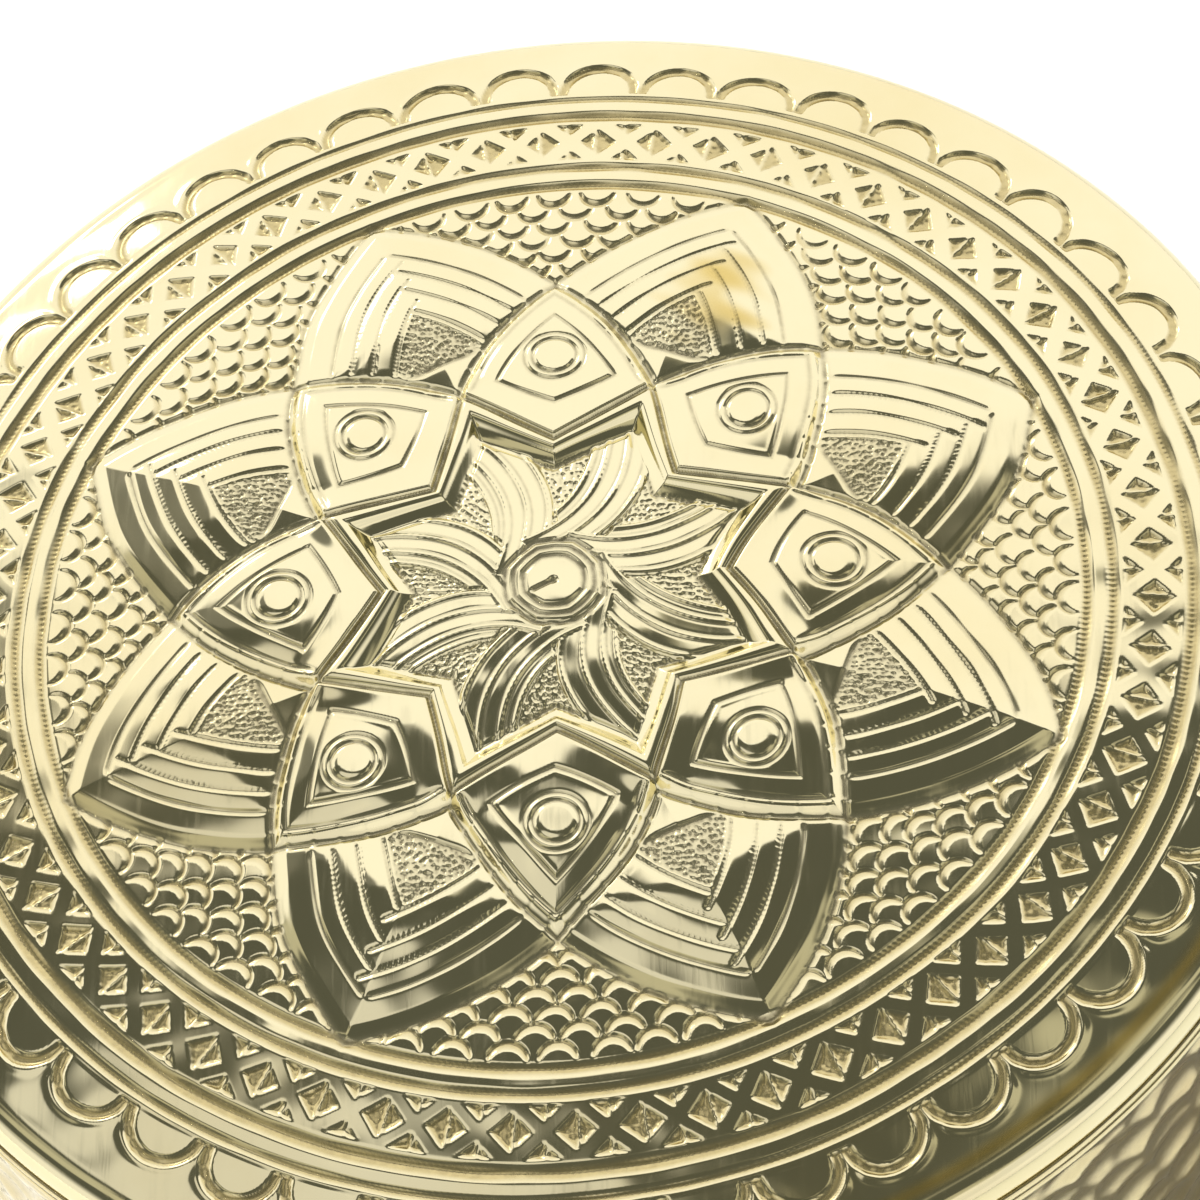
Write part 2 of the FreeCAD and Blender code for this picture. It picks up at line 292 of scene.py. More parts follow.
def outlines(x, y):
    """Distances inside each outline of the rosette, and places along the kites and petals."""
    kite_x, kite_y = fold(x, y, 0.0)
    petal_x, petal_y = fold(x, y, SECTOR / 2)
    in_petal, petal_run = petal_side(petal_x, np.abs(petal_y))
    kite_edge = around(KITE_NOTCH, SECTOR / 2), (SPAN, 0.0), (KITE_NOTCH, 0.0)
    in_kite, kite_run = inside_bow(kite_x, np.abs(kite_y), *kite_edge, KITE_BOW)
    return {
        "kite_x": kite_x,
        "kite_y": kite_y,
        "petal_x": petal_x,
        "petal_y": petal_y,
        "in_petal": in_petal,
        "petal_run": petal_run,
        "in_kite": in_kite,
        "kite_run": kite_run,
        "in_star": inside_line(petal_x, np.abs(petal_y), STAR_POINT, STAR_CORNER),
        "in_crest": inside_line(petal_x, np.abs(petal_y), CREST_POINT, CREST_CORNER),
    }


print(f"kites reach out to {SPAN:.1f} mm and petals to {PETAL_TIP:.1f} mm")

# %% [markdown]
# ## Raising the forms
#
# A petal is a low roof that rises from both sides and tucks under the kites. A kite is level near
# the star, bends down past its button and is vaulted across. Between a kite and the star runs a
# crest, rolled like a rope. The star's floor is domed a little, because the sheet springs back.
# Each form is blended over the one below it across a soft edge, as a punch would leave it.

# %% Petals, kites and star
PETAL_TIP_Z = BAND_Z + 0.010 * SPAN
PETAL_SLOPE = math.tan(math.radians(1.6))
PETAL_ROOF = math.tan(math.radians(5.5))
PETAL_EDGE = (-0.004 * SPAN, 0.036 * SPAN)
ROOF_TUCK = 0.09 * SPAN
ROOF_REACH = 0.27 * SPAN
TUCK_SOFT = 0.04 * SPAN
REACH_SOFT = 0.05 * SPAN
KITE_FLAT = 0.77 * SPAN
KITE_BEND = 0.05 * SPAN
KITE_SLOPE = math.tan(math.radians(9.5))
KITE_FALL = 0.004 * SPAN
KITE_FALL_REACH = 0.03 * SPAN
KITE_EDGE = (-0.006 * SPAN, 0.020 * SPAN)
KITE_VAULT = 0.016 * SPAN
VAULT_HALF = 0.22 * SPAN
VAULT_START = 0.10 * SPAN
CREST_FALL = 0.010 * SPAN
CREST_SOFT = 0.012 * SPAN
STAR_DEPTH = 0.014 * SPAN
STAR_DOME = 0.095
STAR_WALL = 0.034 * SPAN
STAR_EDGE = (-0.020 * SPAN, STAR_WALL)
TINY = 1e-9


def petal_height(radius, lines):
    """A petal's low roof, which slopes to its tip and tucks under the kites."""
    inset = soft_min(lines["in_petal"], ROOF_TUCK - lines["in_kite"], TUCK_SOFT)
    inset = soft_min(np.clip(inset, 0.0, None), ROOF_REACH, REACH_SOFT)
    return PETAL_TIP_Z + (PETAL_TIP - radius) * PETAL_SLOPE + PETAL_ROOF * inset


def kite_height(radius, lines):
    """A kite, level inside, bent down past its button, vaulted across and rolled at the crest."""
    in_crest = lines["in_crest"]
    past = radius - KITE_FLAT
    height = LID_TOP - 0.5 * (past + np.hypot(past, KITE_BEND)) * KITE_SLOPE
    height -= KITE_FALL * np.exp(-np.clip(lines["in_kite"], 0.0, None) / KITE_FALL_REACH)
    height -= KITE_VAULT * (lines["kite_y"] / VAULT_HALF) ** 2 * ease(0.0, VAULT_START, -in_crest)
    roll = 2.0 * np.clip(in_crest / (in_crest - lines["in_star"] + TINY), 0.0, 1.0) - 1.0
    return height - CREST_FALL * roll ** 2 * ease(-CREST_SOFT, 0.0, in_crest)


def forms(x, y, lines):
    """Height of the raised forms, before any chasing."""
    radius = np.hypot(x, y)
    height = blend(sheet_height(radius), petal_height(radius, lines), ease(*PETAL_EDGE, lines["in_petal"]))
    height = blend(height, kite_height(radius, lines), ease(*KITE_EDGE, lines["in_kite"]))
    floor = LID_TOP - STAR_DEPTH - STAR_DOME * radius ** 2 / SPAN
    return blend(height, floor, ease(*STAR_EDGE, lines["in_star"]))


print(f"petal tips are {PETAL_TIP_Z:.2f} mm up, the star is sunk {STAR_DEPTH:.2f} mm in the middle")

# %% [markdown]
# ## Chasing the rosette
#
# The kites carry a panel edged with a line, and on it a button in a ring. A line follows the star's
# rim. The petals carry chevrons: lines that run along both sides and meet on the axis, walked with
# a punch whose dents still show, with a stippled field behind them. On the star's floor eight leaves
# whirl round a boss, each a fan of bands between bent ribs. All of it is drawn by distances, and the
# marks of each outline are a short list of place, width and height.

# %% Kites
PANEL_INNER = (0.566 * SPAN, 0.0)
PANEL_OUTER = (0.874 * SPAN, 0.0)
PANEL_SIDE = around(0.668 * SPAN, math.radians(13.4))
PANEL_BOW = 0.9 * SPAN
PANEL_FADE = 0.03 * SPAN
PANEL_MARKS = [(0.0, 0.006, -1.8), (0.012, 0.008, 0.5)]
BUTTON_X = 0.720 * SPAN
BUTTON_R = 0.058 * SPAN
BUTTON_END = 0.13 * SPAN
BUTTON_RISE = 2.0 * HAIR
BUTTON_MARKS = [(0.058, 0.0055, -2.0), (0.070, 0.007, 0.5), (0.080, 0.0055, -1.6)]
CREST_MARKS = [(0.0, 0.007, -3.0)]
CREST_WALK = (0.017 * SPAN, 0.15)
KITE_FOOT = [(-0.010, 0.008, -2.4)]
KITE_LIP = [(0.014, 0.008, 1.0)]
KITE_INNER_LINE = [(0.030, 0.007, -1.2)]
KITE_FOOT_CUTS = (0.068 * SPAN, 8, 0.35)
KITE_LIP_CUTS = (0.068 * SPAN, 16, 0.7)


def chase_kites(x, y, lines):
    """Segmented edge, line round the star, panel bead, button and its ring."""
    along, across, in_kite = lines["kite_x"], np.abs(lines["kite_y"]), lines["in_kite"]
    middle = (BUTTON_X, 0.0)
    inner = inside_bow(along, across, PANEL_INNER, PANEL_SIDE, middle, PANEL_BOW)[0]
    outer = inside_bow(along, across, PANEL_SIDE, PANEL_OUTER, middle, PANEL_BOW)[0]
    panel = np.minimum(inner, outer)
    height = drawn(panel, PANEL_MARKS) * ease(PANEL_FADE, 0.0, np.abs(panel))
    button = np.hypot(along - BUTTON_X, across)
    dome = BUTTON_RISE * np.clip(1.0 - (button / BUTTON_R) ** 2, 0.0, None)
    height += (dome + drawn(button, BUTTON_MARKS)) * ease(BUTTON_END, BUTTON_END - SOFT, button)
    height += drawn(lines["in_crest"], CREST_MARKS) * walked(lines["petal_x"] + lines["petal_y"], *CREST_WALK)
    height *= ease(0.0, SOFT, in_kite) * ease(0.0, SOFT, -lines["in_star"])
    edge = drawn(in_kite, KITE_FOOT) * cut_across(lines["kite_run"], *KITE_FOOT_CUTS)
    edge += drawn(in_kite, KITE_LIP) * cut_across(lines["kite_run"], *KITE_LIP_CUTS)
    edge += drawn(in_kite, KITE_INNER_LINE)
    return height + edge * ease(0.0, SOFT, np.hypot(x, y) - KITE_NOTCH + SOFT)


print(f"kite panels are {PANEL_OUTER[0] - PANEL_INNER[0]:.1f} mm long, buttons {2 * BUTTON_R:.1f} mm wide")

# %% Petals
THIN_LINE = 0.095
CHEVRONS = [0.150, 0.210, 0.275]
CHEVRON_WIDTH = 0.0065
CHEVRON_HEIGHT = -2.0
CHEVRON_WALK = (0.017 * SPAN, 0.12)
CHEVRON_END = 0.015 * SPAN
LINE_OVERRUN = 0.05 * SPAN
FIELD_INNER = 0.800
FIELD_EDGE = (0.012 * SPAN, 0.020 * SPAN)
FIELD_SOFT = 0.012 * SPAN
FIELD_DEPTH = 0.8 * HAIR
DOT_DEPTH = 2.6 * HAIR
THIN_MARKS = [(THIN_LINE, 0.006, -1.5)]
FIELD_MARKS = [(FIELD_INNER, 0.0075, -2.6)]
STRIP = 0.0615 * SPAN
STRIP_TILT = 0.8 * HAIR
STRIP_CROWN = 1.4 * HAIR
STRIP_SOFT = 0.01 * SPAN
BARE_OF_KITE = (0.012 * SPAN, 0.05 * SPAN)
BARE_OF_EDGE = (0.02 * SPAN, 0.05 * SPAN)
PETAL_FOOT = [(-0.008, 0.009, -2.0)]
PETAL_FOOT_CUTS = (0.075 * SPAN, 8, 0.20)


def chase_petals(x, y, lines):
    """Segmented edge, thin line, chevrons with bands between them, stippled field and its edge."""
    along, across = lines["petal_x"], lines["petal_y"]
    left, left_run = petal_side(along, across)
    right, right_run = petal_side(along, -across)
    height = np.zeros_like(x)
    for side, run, other, overrun in ((left, left_run, right, LINE_OVERRUN), (right, right_run, left, 0.0)):
        height += drawn(side, THIN_MARKS) * ease(0.0, SOFT, other - THIN_LINE * SPAN)
        for place in CHEVRONS:
            line = drawn(side, [(place, CHEVRON_WIDTH, CHEVRON_HEIGHT)]) * walked(run, *CHEVRON_WALK)
            height += line * ease(0.0, CHEVRON_END, other - place * SPAN + overrun)
    nearest = np.minimum(left, right)
    first, last = THIN_LINE * SPAN, CHEVRONS[-1] * SPAN
    strip = (nearest - first) % STRIP / STRIP
    bands = ease(first, first + STRIP_SOFT, nearest) * ease(last + STRIP_SOFT, last, nearest)
    height += (STRIP_TILT * strip + STRIP_CROWN * strip * (1.0 - strip)) * bands
    height += drawn(along, FIELD_MARKS)
    bare = ease(*BARE_OF_KITE, -lines["in_kite"]) * ease(*BARE_OF_EDGE, lines["in_petal"])
    field = ease(*FIELD_EDGE, nearest - last) * ease(0.0, FIELD_SOFT, along - FIELD_INNER * SPAN) * bare
    height = height * bare - DOT_DEPTH * stipple_where(field, x, y) - FIELD_DEPTH * field
    foot = drawn(lines["in_petal"], PETAL_FOOT) * ease(0.0, 0.5 * SOFT, -lines["in_kite"])
    return height + foot * cut_across(lines["petal_run"], *PETAL_FOOT_CUTS)


print(f"{len(CHEVRONS)} chevrons on each petal, the inmost {CHEVRONS[-1] * SPAN:.1f} mm from its edge")

# %% Leaves of the star
LEAF_BEND = 0.36 * SPAN
LEAF_TURN = 0.345 * SPAN
LEAF_FRONT = 0.056 * SPAN
LEAF_REACH = 0.98 * LEAF_BEND
LEAF_LEAN = 0.7
LEAF_THROAT = (0.22 * SPAN, 0.17 * SPAN)
LEAF_RIBS = [0.0, 0.036 * SPAN, 0.092 * SPAN, 0.150 * SPAN]
RIB_HALF = 0.0085 * SPAN


def leaf_fans(x, y):
    """How far a place lies behind the bent front rib of its leaf, or a whole span off any leaf."""
    nearest = np.full_like(x, SPAN)
    for number in range(PETALS):
        along, across = turned(x, y, SECTOR * (number + 0.5))
        reach = np.clip(along - LEAF_TURN, -LEAF_REACH, LEAF_REACH)
        behind = LEAF_FRONT + LEAF_BEND - np.sqrt(LEAF_BEND ** 2 - reach ** 2) - across
        start = LEAF_RIBS[1] * ease(*LEAF_THROAT, along) - RIB_HALF
        on_leaf = (along > 0) & (along > LEAF_LEAN * across) & (behind > start)
        nearest = np.where(on_leaf & (behind < nearest), behind, nearest)
    return nearest


print(f"{PETALS} leaves with {len(LEAF_RIBS)} ribs each")

# %% The star's floor
LEAF_RISE = 2.4 * HAIR
RIB_RISE = 1.5 * HAIR
GROOVE_DEPTH = 0.3 * HAIR
GROOVE_WIDTH = 0.004 * SPAN
GROOVE_GRIME = 0.4
RIB_WALK = (0.018 * SPAN, 0.12)
GROUND_DOT_DEPTH = 2.2 * HAIR
STAR_FOOT = [(STAR_WALL / SPAN, 0.006, -2.0)]
BOSS_EDGE = 0.120 * SPAN
BOSS_SOFT = 0.006 * SPAN
BOSS_RISE = 5.0 * HAIR
BOSS_ANGULAR = 0.45
BOSS_RINGS = [(0.078, 0.006, -2.4), (0.104, 0.006, -1.6), (0.128, 0.006, -2.0)]
BOSS_GRIME_WIDTH = 0.007 * SPAN
CENTRE_DOT = [(0.0, 0.009, -2.4)]
TICK_TURN = math.radians(207)
TICK_LENGTH = 0.070 * SPAN
TICK_WIDTH = 0.006 * SPAN
TICK_DEPTH = 2.4 * HAIR


def chase_star(x, y, lines):
    """Leaves on a stippled floor, and a boss with rings, a dot and a tick; height and grime."""
    radius = np.hypot(x, y)
    behind = leaf_fans(x, y)
    to_rib = np.min([np.abs(behind - place) for place in LEAF_RIBS], axis=0)
    groove = ridge(to_rib - 1.3 * RIB_HALF, GROOVE_WIDTH)
    rib = ridge(to_rib, 0.8 * RIB_HALF) * walked(radius, *RIB_WALK)
    floor = ease(0.7 * STAR_WALL, STAR_WALL, lines["in_star"])
    floor *= ease(BOSS_EDGE, BOSS_EDGE + 0.5 * SOFT, radius)
    leaf = floor * ease(LEAF_RIBS[-1] + 1.6 * RIB_HALF, LEAF_RIBS[-1] + 0.8 * RIB_HALF, behind)
    height = leaf * (LEAF_RISE + RIB_RISE * rib - GROOVE_DEPTH * groove)
    height -= GROUND_DOT_DEPTH * stipple_where(floor - leaf, x, y)
    height += drawn(lines["in_star"], STAR_FOOT) + drawn(radius, CENTRE_DOT)
    boss = blend(radius, lines["kite_x"], BOSS_ANGULAR)
    height += BOSS_RISE * ease(BOSS_EDGE + BOSS_SOFT, BOSS_EDGE - BOSS_SOFT, boss) + drawn(boss, BOSS_RINGS)
    tick_x, tick_y = turned(x, y, TICK_TURN)
    tick = ease(-0.5 * SOFT, 0.0, tick_x) * ease(TICK_LENGTH, 0.8 * TICK_LENGTH, tick_x)
    tick *= ridge(tick_y, TICK_WIDTH)
    rings = [ridge(boss - place * SPAN, BOSS_GRIME_WIDTH) for place, _, _ in BOSS_RINGS]
    return height - TICK_DEPTH * tick, np.max([GROOVE_GRIME * leaf * groove, tick, *rings], axis=0)


print(f"the boss is {2 * BOSS_EDGE:.1f} mm wide and {BOSS_RISE:.1f} mm high")

# %% [markdown]
# ## Chasing the ground and the rings
#
# Round the petals the ground is set with scales: rows of crescents, struck with a curved punch that
# was tilted, so that each mark is deepest along its round outer edge and runs out towards the middle.
# Rings of channels with a dotted line in them hold a lattice, where the straps are left plain and
# the lozenges between them are sunk. A row of scallops closes the pattern.

# %% Scales
SCALE_COUNT = 68
SCALE_ROWS = 12
SCALE_FIRST = 1.330 * SPAN
SCALE_ROW = 0.0480 * SPAN
SCALE_R = 0.046 * SPAN
SCALE_THICK = 0.026 * SPAN
SCALE_DEPTH = 3.0 * HAIR
SCALE_EDGE = (-0.006 * SPAN, 0.002 * SPAN)
SCALE_HORNS = (-0.35 * SCALE_R, 0.2 * SCALE_R)
SCALES_END = (1.352 * SPAN, 1.340 * SPAN)
scale_force = hand.uniform(0.75, 1.1, (SCALE_ROWS, SCALE_COUNT))
scale_shift = hand.uniform(-0.10, 0.10, (SCALE_ROWS, SCALE_COUNT))


def chase_scales(x, y, lines):
    """Rows of crescents, set off by half from row to row, deep along their round side."""
    radius, turn = np.hypot(x, y), np.arctan2(y, x) / (2 * math.pi) % 1.0
    hollow = np.zeros_like(x)
    nearest = np.floor((SCALE_FIRST - radius) / SCALE_ROW).astype(int)
    for step in (-1, 0, 1, 2):
        row = np.clip(nearest + step, 0, SCALE_ROWS - 1)
        place = turn * SCALE_COUNT + 0.5 * (row % 2)
        cell = np.round(place)
        struck = row, cell.astype(int) % SCALE_COUNT
        off = (place - cell + scale_shift[struck]) * 2 * math.pi * radius / SCALE_COUNT
        back = SCALE_FIRST - row * SCALE_ROW - radius
        beyond = SCALE_R - np.hypot(off, back)
        thick = SCALE_THICK * np.clip(0.3 + 1.1 * back / SCALE_R, 0.02, 1.0)
        cut = ease(*SCALE_EDGE, beyond) * np.clip(1.0 - beyond / thick, 0.0, 1.0) * ease(*SCALE_HORNS, back)
        hollow = np.maximum(hollow, cut * scale_force[struck])
    ground = ease(0.0, 0.6 * SOFT, -lines["in_petal"]) * ease(*SCALES_END, radius)
    return -SCALE_DEPTH * ground * hollow


print(f"{SCALE_COUNT} scales in a row, {2 * SCALE_R:.1f} mm wide")

# %% Rings
RING_CHANNELS = [(1.362, 0.022), (1.428, 0.022), (1.628, 0.028), (1.697, 0.017)]
RING_DEPTH = 150.0 * HAIR
RING_DOT_PITCH = 0.016 * SPAN
RING_DOT_WIDTH = 0.007 * SPAN
RING_DOT_DEPTH = 1.2 * HAIR


def chase_rings(x, y):
    """Round channels, the wider the deeper, each with a dotted line near its bottom."""
    radius = np.hypot(x, y)
    run = radius * np.arctan2(y, x)
    height = np.zeros_like(x)
    for place, half in RING_CHANNELS:
        off = radius - place * SPAN
        height -= RING_DEPTH * half * (1.0 - ease(0.0, half * SPAN, np.abs(off)))
        dots = strokes(run, RING_DOT_PITCH) * ridge(off + 0.2 * half * SPAN, RING_DOT_WIDTH)
        height -= RING_DOT_DEPTH * dots
    return height


widest = max(half for _, half in RING_CHANNELS)
print(f"{len(RING_CHANNELS)} channels, up to {RING_DEPTH * widest:.2f} mm deep")

# %% Lattice
LATTICE_INNER = 1.446 * SPAN
LATTICE_OUTER = 1.606 * SPAN
LATTICE_COUNT = 60
LATTICE_TURN = math.radians(85.6)
LATTICE_GAP = 0.006 * SPAN
STRAP_HALF = 0.016 * SPAN
LOZENGE_SOFT = 0.016 * SPAN
LOZENGE_DEPTH = 3.6 * HAIR
LOZENGE_TILT = 2.0 * HAIR
LOZENGE_DOT_DEPTH = 1.5 * HAIR
LOZENGE_DOT_PITCH = 0.019 * SPAN
CREASE = [(0.008, 0.007, 3.0)]
lozenge_force = hand.uniform(0.75, 1.15, (2 * LATTICE_COUNT, 3))


def chase_lattice(x, y):
    """Crossing straps left plain between sunk lozenges, each creased along its length."""
    tall = LATTICE_OUTER - LATTICE_INNER
    wide = math.pi * (LATTICE_OUTER + LATTICE_INNER) / LATTICE_COUNT
    between = 1.0 / math.hypot(1.0 / tall, 1.0 / wide)
    share = (np.hypot(x, y) - LATTICE_INNER) / tall
    place = (np.arctan2(y, x) - LATTICE_TURN) / (2 * math.pi) * LATTICE_COUNT
    one, two = np.floor(place + share), np.floor(place - share)
    from_one = 0.5 - np.abs(place + share - one - 0.5)
    from_two = 0.5 - np.abs(place - share - two - 0.5)
    inside = np.minimum(from_one, from_two) * between - STRAP_HALF
    inside = np.minimum(inside, np.minimum(share, 1.0 - share) * tall - LATTICE_GAP)
    off = (place - (one + two + 1.0) / 2) * wide
    column, row = (one + two).astype(int) % (2 * LATTICE_COUNT), np.clip(one - two, 0, 2).astype(int)
    force = lozenge_force[column, row]
    sunk = ease(0.0, LOZENGE_SOFT, inside + LATTICE_GAP * (force - 1.0)) * force
    floor = drawn(off, CREASE) + LOZENGE_TILT * np.clip(off / wide, -0.5, 0.5) - LOZENGE_DEPTH
    return sunk * floor - LOZENGE_DOT_DEPTH * stipple_where(sunk, x, y, LOZENGE_DOT_PITCH)


print(f"{LATTICE_COUNT} lozenges in a row, in a band {LATTICE_OUTER - LATTICE_INNER:.1f} mm wide")

# %% Scallops
SCALLOP_COUNT = 48
SCALLOP_FOOT = 1.722 * SPAN
SCALLOP_RISE = 0.108 * SPAN
SCALLOP_CHANNEL = 0.017 * SPAN
SCALLOP_INSET = 0.010 * SPAN
SCALLOP_WALK = (0.05 * SPAN, 0.20)
SCALLOP_DEPTH = 4.2 * HAIR
SCALLOP_CUSHION = 0.6 * HAIR
SCALLOP_LIP = 1.0 * HAIR
LIP_WIDTH = 0.010 * SPAN
scallop_rise = SCALLOP_RISE * hand.uniform(0.92, 1.08, SCALLOP_COUNT)


def channel(distance, half_width):
    """A flat-bottomed channel, 1 deep, whose sides slope over most of its half width."""
    return 1.0 - ease(0.35 * half_width, half_width, np.abs(distance))


def chase_scallops(x, y):
    """A row of arches, each a channel with a raised lip, round a plain half-moon cushion."""
    radius = np.hypot(x, y)
    place = np.arctan2(y, x) / (2 * math.pi) * SCALLOP_COUNT
    cell = np.floor(place)
    half = math.pi * SCALLOP_FOOT / SCALLOP_COUNT
    off = (place - cell - 0.5) * 2 * half
    out = np.clip(radius - SCALLOP_FOOT, 0.0, None)
    arch = np.hypot(off / (0.97 * half), out / scallop_rise[cell.astype(int) % SCALLOP_COUNT])
    beyond = (arch - 1.0) * SCALLOP_RISE + SCALLOP_INSET
    groove = channel(beyond, SCALLOP_CHANNEL) * walked(off + out, *SCALLOP_WALK)
    lip = ridge(beyond - 1.35 * SCALLOP_CHANNEL, LIP_WIDTH) * ease(0.95 * half, 0.80 * half, np.abs(off))
    cushion = np.clip(1.0 - arch ** 2, 0.0, None)
    height = SCALLOP_LIP * lip + SCALLOP_CUSHION * cushion - SCALLOP_DEPTH * groove
    return height * ease(0.0, 0.3 * SOFT, radius - SCALLOP_FOOT)


print(f"{SCALLOP_COUNT} scallops, {SCALLOP_RISE:.1f} mm high")

# %% [markdown]
# ## Raising the lid's mesh
#
# A relief needs points all over. Rings of points suit a round lid: the sheet is cut into rows from
# the centre out, and the number of points in a row doubles twice on the way, so that they lie about
# as close everywhere. The rows go on over the shoulder, down the skirt and back under the sheet, so
# the lid is one closed skin, hollow behind the rosette as raised work is.

# %% Stitching rows of points


def widening(near, far, few, many):
    """Three-sided faces from a centre point to a row, or from a row to one with twice its points."""
    step = np.arange(many if few == 1 else few)
    if few == 1:
        return [np.stack([near + 0 * step, far + step, far + (step + 1) % many], 1)]
    one, two = near + step, near + (step + 1) % few
    before, middle, after = far + 2 * step, far + 2 * step + 1, far + (2 * step + 2) % many
    sides = (one, before, middle), (one, middle, two), (two, middle, after)
    return [np.stack(side, 1) for side in sides]


def stitched(counts, closed=False):
    """Faces between rows of points: four-sided ones, and three-sided where a row doubles or ends."""
    starts = np.concatenate([[0], np.cumsum(counts)])
    quads, tris = [np.zeros((0, 4), int)], [np.zeros((0, 3), int)]
    for row in range(len(counts) if closed else len(counts) - 1):
        beyond = (row + 1) % len(counts)
        first, second, here, there = starts[row], starts[beyond], counts[row], counts[beyond]
        if here == there:
            step = np.arange(here)
            after = (step + 1) % here
            quads.append(np.stack([first + step, second + step, second + after, first + after], 1))
        elif here < there:
            tris += widening(first, second, here, there)
        else:
            tris += [face[:, ::-1] for face in widening(second, first, there, here)]
    return np.concatenate(quads), np.concatenate(tris)


def keep_values(mesh, name, values):
    """Keeps one number for each point, for the materials to read."""
    mesh.attributes.new(name, "FLOAT", "POINT").data.foreach_set("value", values.astype(np.float32))


def mesh_piece(name, points, faces, recess):
    """A piece from points in millimetres, with how far each point lies in a recess."""
    quads, tris = faces
    corners = np.concatenate([quads.ravel(), tris.ravel()]).astype(np.int32)
    first = np.concatenate([np.arange(len(quads)) * 4, quads.size + np.arange(len(tris)) * 3])
    mesh = bpy.data.meshes.new(name)
    mesh.vertices.add(len(points))
    mesh.vertices.foreach_set("co", (points * MM).astype(np.float32).ravel())
    mesh.loops.add(len(corners))
    mesh.loops.foreach_set("vertex_index", corners)
    mesh.polygons.add(len(first))
    mesh.polygons.foreach_set("loop_start", first.astype(np.int32))
    mesh.polygons.foreach_set("use_smooth", np.ones(len(first), bool))
    mesh.update(calc_edges=True)
    keep_values(mesh, "recess", recess)
    piece = bpy.data.objects.new(name, mesh)
    bpy.context.collection.objects.link(piece)
    print(f"{name}: {len(points)} points, {len(first)} faces")
    return piece


# %% Rows of the lid
COLUMNS = 1920
ROW_STEP = 0.0023 * BOX_R
BELOW_STEP = 0.01 * BOX_R
CENTRE_ZONE = 0.24 * SPAN
MIDDLE_ZONE = 0.68 * SPAN
PATTERN_END = 1.86 * SPAN
LIP_ROUND = 0.25 * SHEET
BORDER_ROWS = 7
SHOULDER_ROWS = 10
INNER_SHOULDER_ROWS = 5
TOP, EDGE, BELOW = 0, 1, 2


def bent_rows(bend_r, turns, count):
    """Rows round the shoulder, at a radius from the middle of its bend."""
    centre = BOX_R - SHOULDER
    return [(centre + bend_r * math.cos(t), EDGE, SKIRT + bend_r * math.sin(t), count) for t in turns]


def lid_rows():
    """Radius, part, height and number of points of each row: outside from the centre, and inside."""
    outside = [(0.0, TOP, 0.0, 1)]
    zones = (0.0, CENTRE_ZONE, 4), (CENTRE_ZONE, MIDDLE_ZONE, 2), (MIDDLE_ZONE, PATTERN_END, 1)
    for start, end, share in zones:
        places = np.linspace(start, end, round((end - start) / ROW_STEP) + 1)[1:]
        outside += [(r, TOP, 0.0, COLUMNS // share) for r in places]
    outside += [(r, TOP, 0.0, COLUMNS) for r in np.linspace(PATTERN_END, SHOULDER_X, BORDER_ROWS + 1)[1:]]
    bend = math.pi / 2 - BORDER_SLOPE
    outside += bent_rows(SHOULDER, np.linspace(bend, 0.0, SHOULDER_ROWS + 1)[1:], COLUMNS)
    outside += [(BOX_R, EDGE, h, COLUMNS) for h in (0.6 * SKIRT, 0.25 * SKIRT, LIP_ROUND)]
    outside += [(BOX_R - LIP_ROUND, EDGE, 0.0, COLUMNS)]
    inside = [(BOX_R - SHEET + LIP_ROUND, EDGE, 0.0, COLUMNS // 2)]
    inside += [(BOX_R - SHEET, EDGE, h, COLUMNS // 4) for h in (LIP_ROUND, SKIRT)]
    inside += bent_rows(SHOULDER - SHEET, np.linspace(0.0, bend, INNER_SHOULDER_ROWS + 1)[1:], COLUMNS // 4)
    for r in np.arange(inside[-1][0] - BELOW_STEP, BELOW_STEP, -BELOW_STEP):
        inside.append((r, BELOW, 0.0, COLUMNS // 4 if r > CENTRE_ZONE else COLUMNS // 8))
    return outside, inside + [(0.0, BELOW, 0.0, 1)]


outside_rows, inside_rows = lid_rows()
lid_reach, lid_part, lid_level, counts = zip(*outside_rows, *inside_rows)
radius, part, z = (np.repeat(values, counts) for values in (lid_reach, lid_part, lid_level))
angle = np.concatenate([np.arange(n) * 2 * math.pi / n for n in counts])
x, y = radius * np.cos(angle), radius * np.sin(angle)
top, below = part == TOP, part == BELOW
print(f"lid: {len(counts)} rows, {len(x)} points, {top.sum()} of them on the chased side")

# %% Relief of the lid
WANDER = 0.0034 * SPAN
WANDER_WAVES = (0.3 * SPAN, 0.9 * SPAN)
RING_WANDER = 0.3
FORCE_VARIES = 0.12
FORCE_WAVES = (0.1 * SPAN, 0.3 * SPAN)
RIPPLE = 0.0004 * SPAN
RIPPLE_WAVES = (0.14 * SPAN, 0.4 * SPAN, 12)
RIPPLE_END = (SHOULDER_X, SHOULDER_X - 0.03 * SPAN)
top_x, top_y = x[top], y[top]
drawn_x = top_x + WANDER * ripple(top_x, top_y, *WANDER_WAVES)
drawn_y = top_y + WANDER * ripple(top_x, top_y, *WANDER_WAVES)
lines = outlines(drawn_x, drawn_y)
star, grime = chase_star(drawn_x, drawn_y, lines)
chased = chase_kites(drawn_x, drawn_y, lines) + chase_petals(drawn_x, drawn_y, lines) + star
chased += chase_scales(drawn_x, drawn_y, lines) + chase_lattice(drawn_x, drawn_y)
chased += chase_scallops(drawn_x, drawn_y)
chased += chase_rings(blend(top_x, drawn_x, RING_WANDER), blend(top_y, drawn_y, RING_WANDER))
chased *= 1.0 + FORCE_VARIES * ripple(top_x, top_y, *FORCE_WAVES)
waves = RIPPLE * ripple(top_x, top_y, *RIPPLE_WAVES) * ease(*RIPPLE_END, radius[top])
z[top] = np.minimum(forms(drawn_x, drawn_y, lines) + chased + waves, LID_TOP)
z[below] = forms(x[below], y[below], outlines(x[below], y[below])) - SHEET
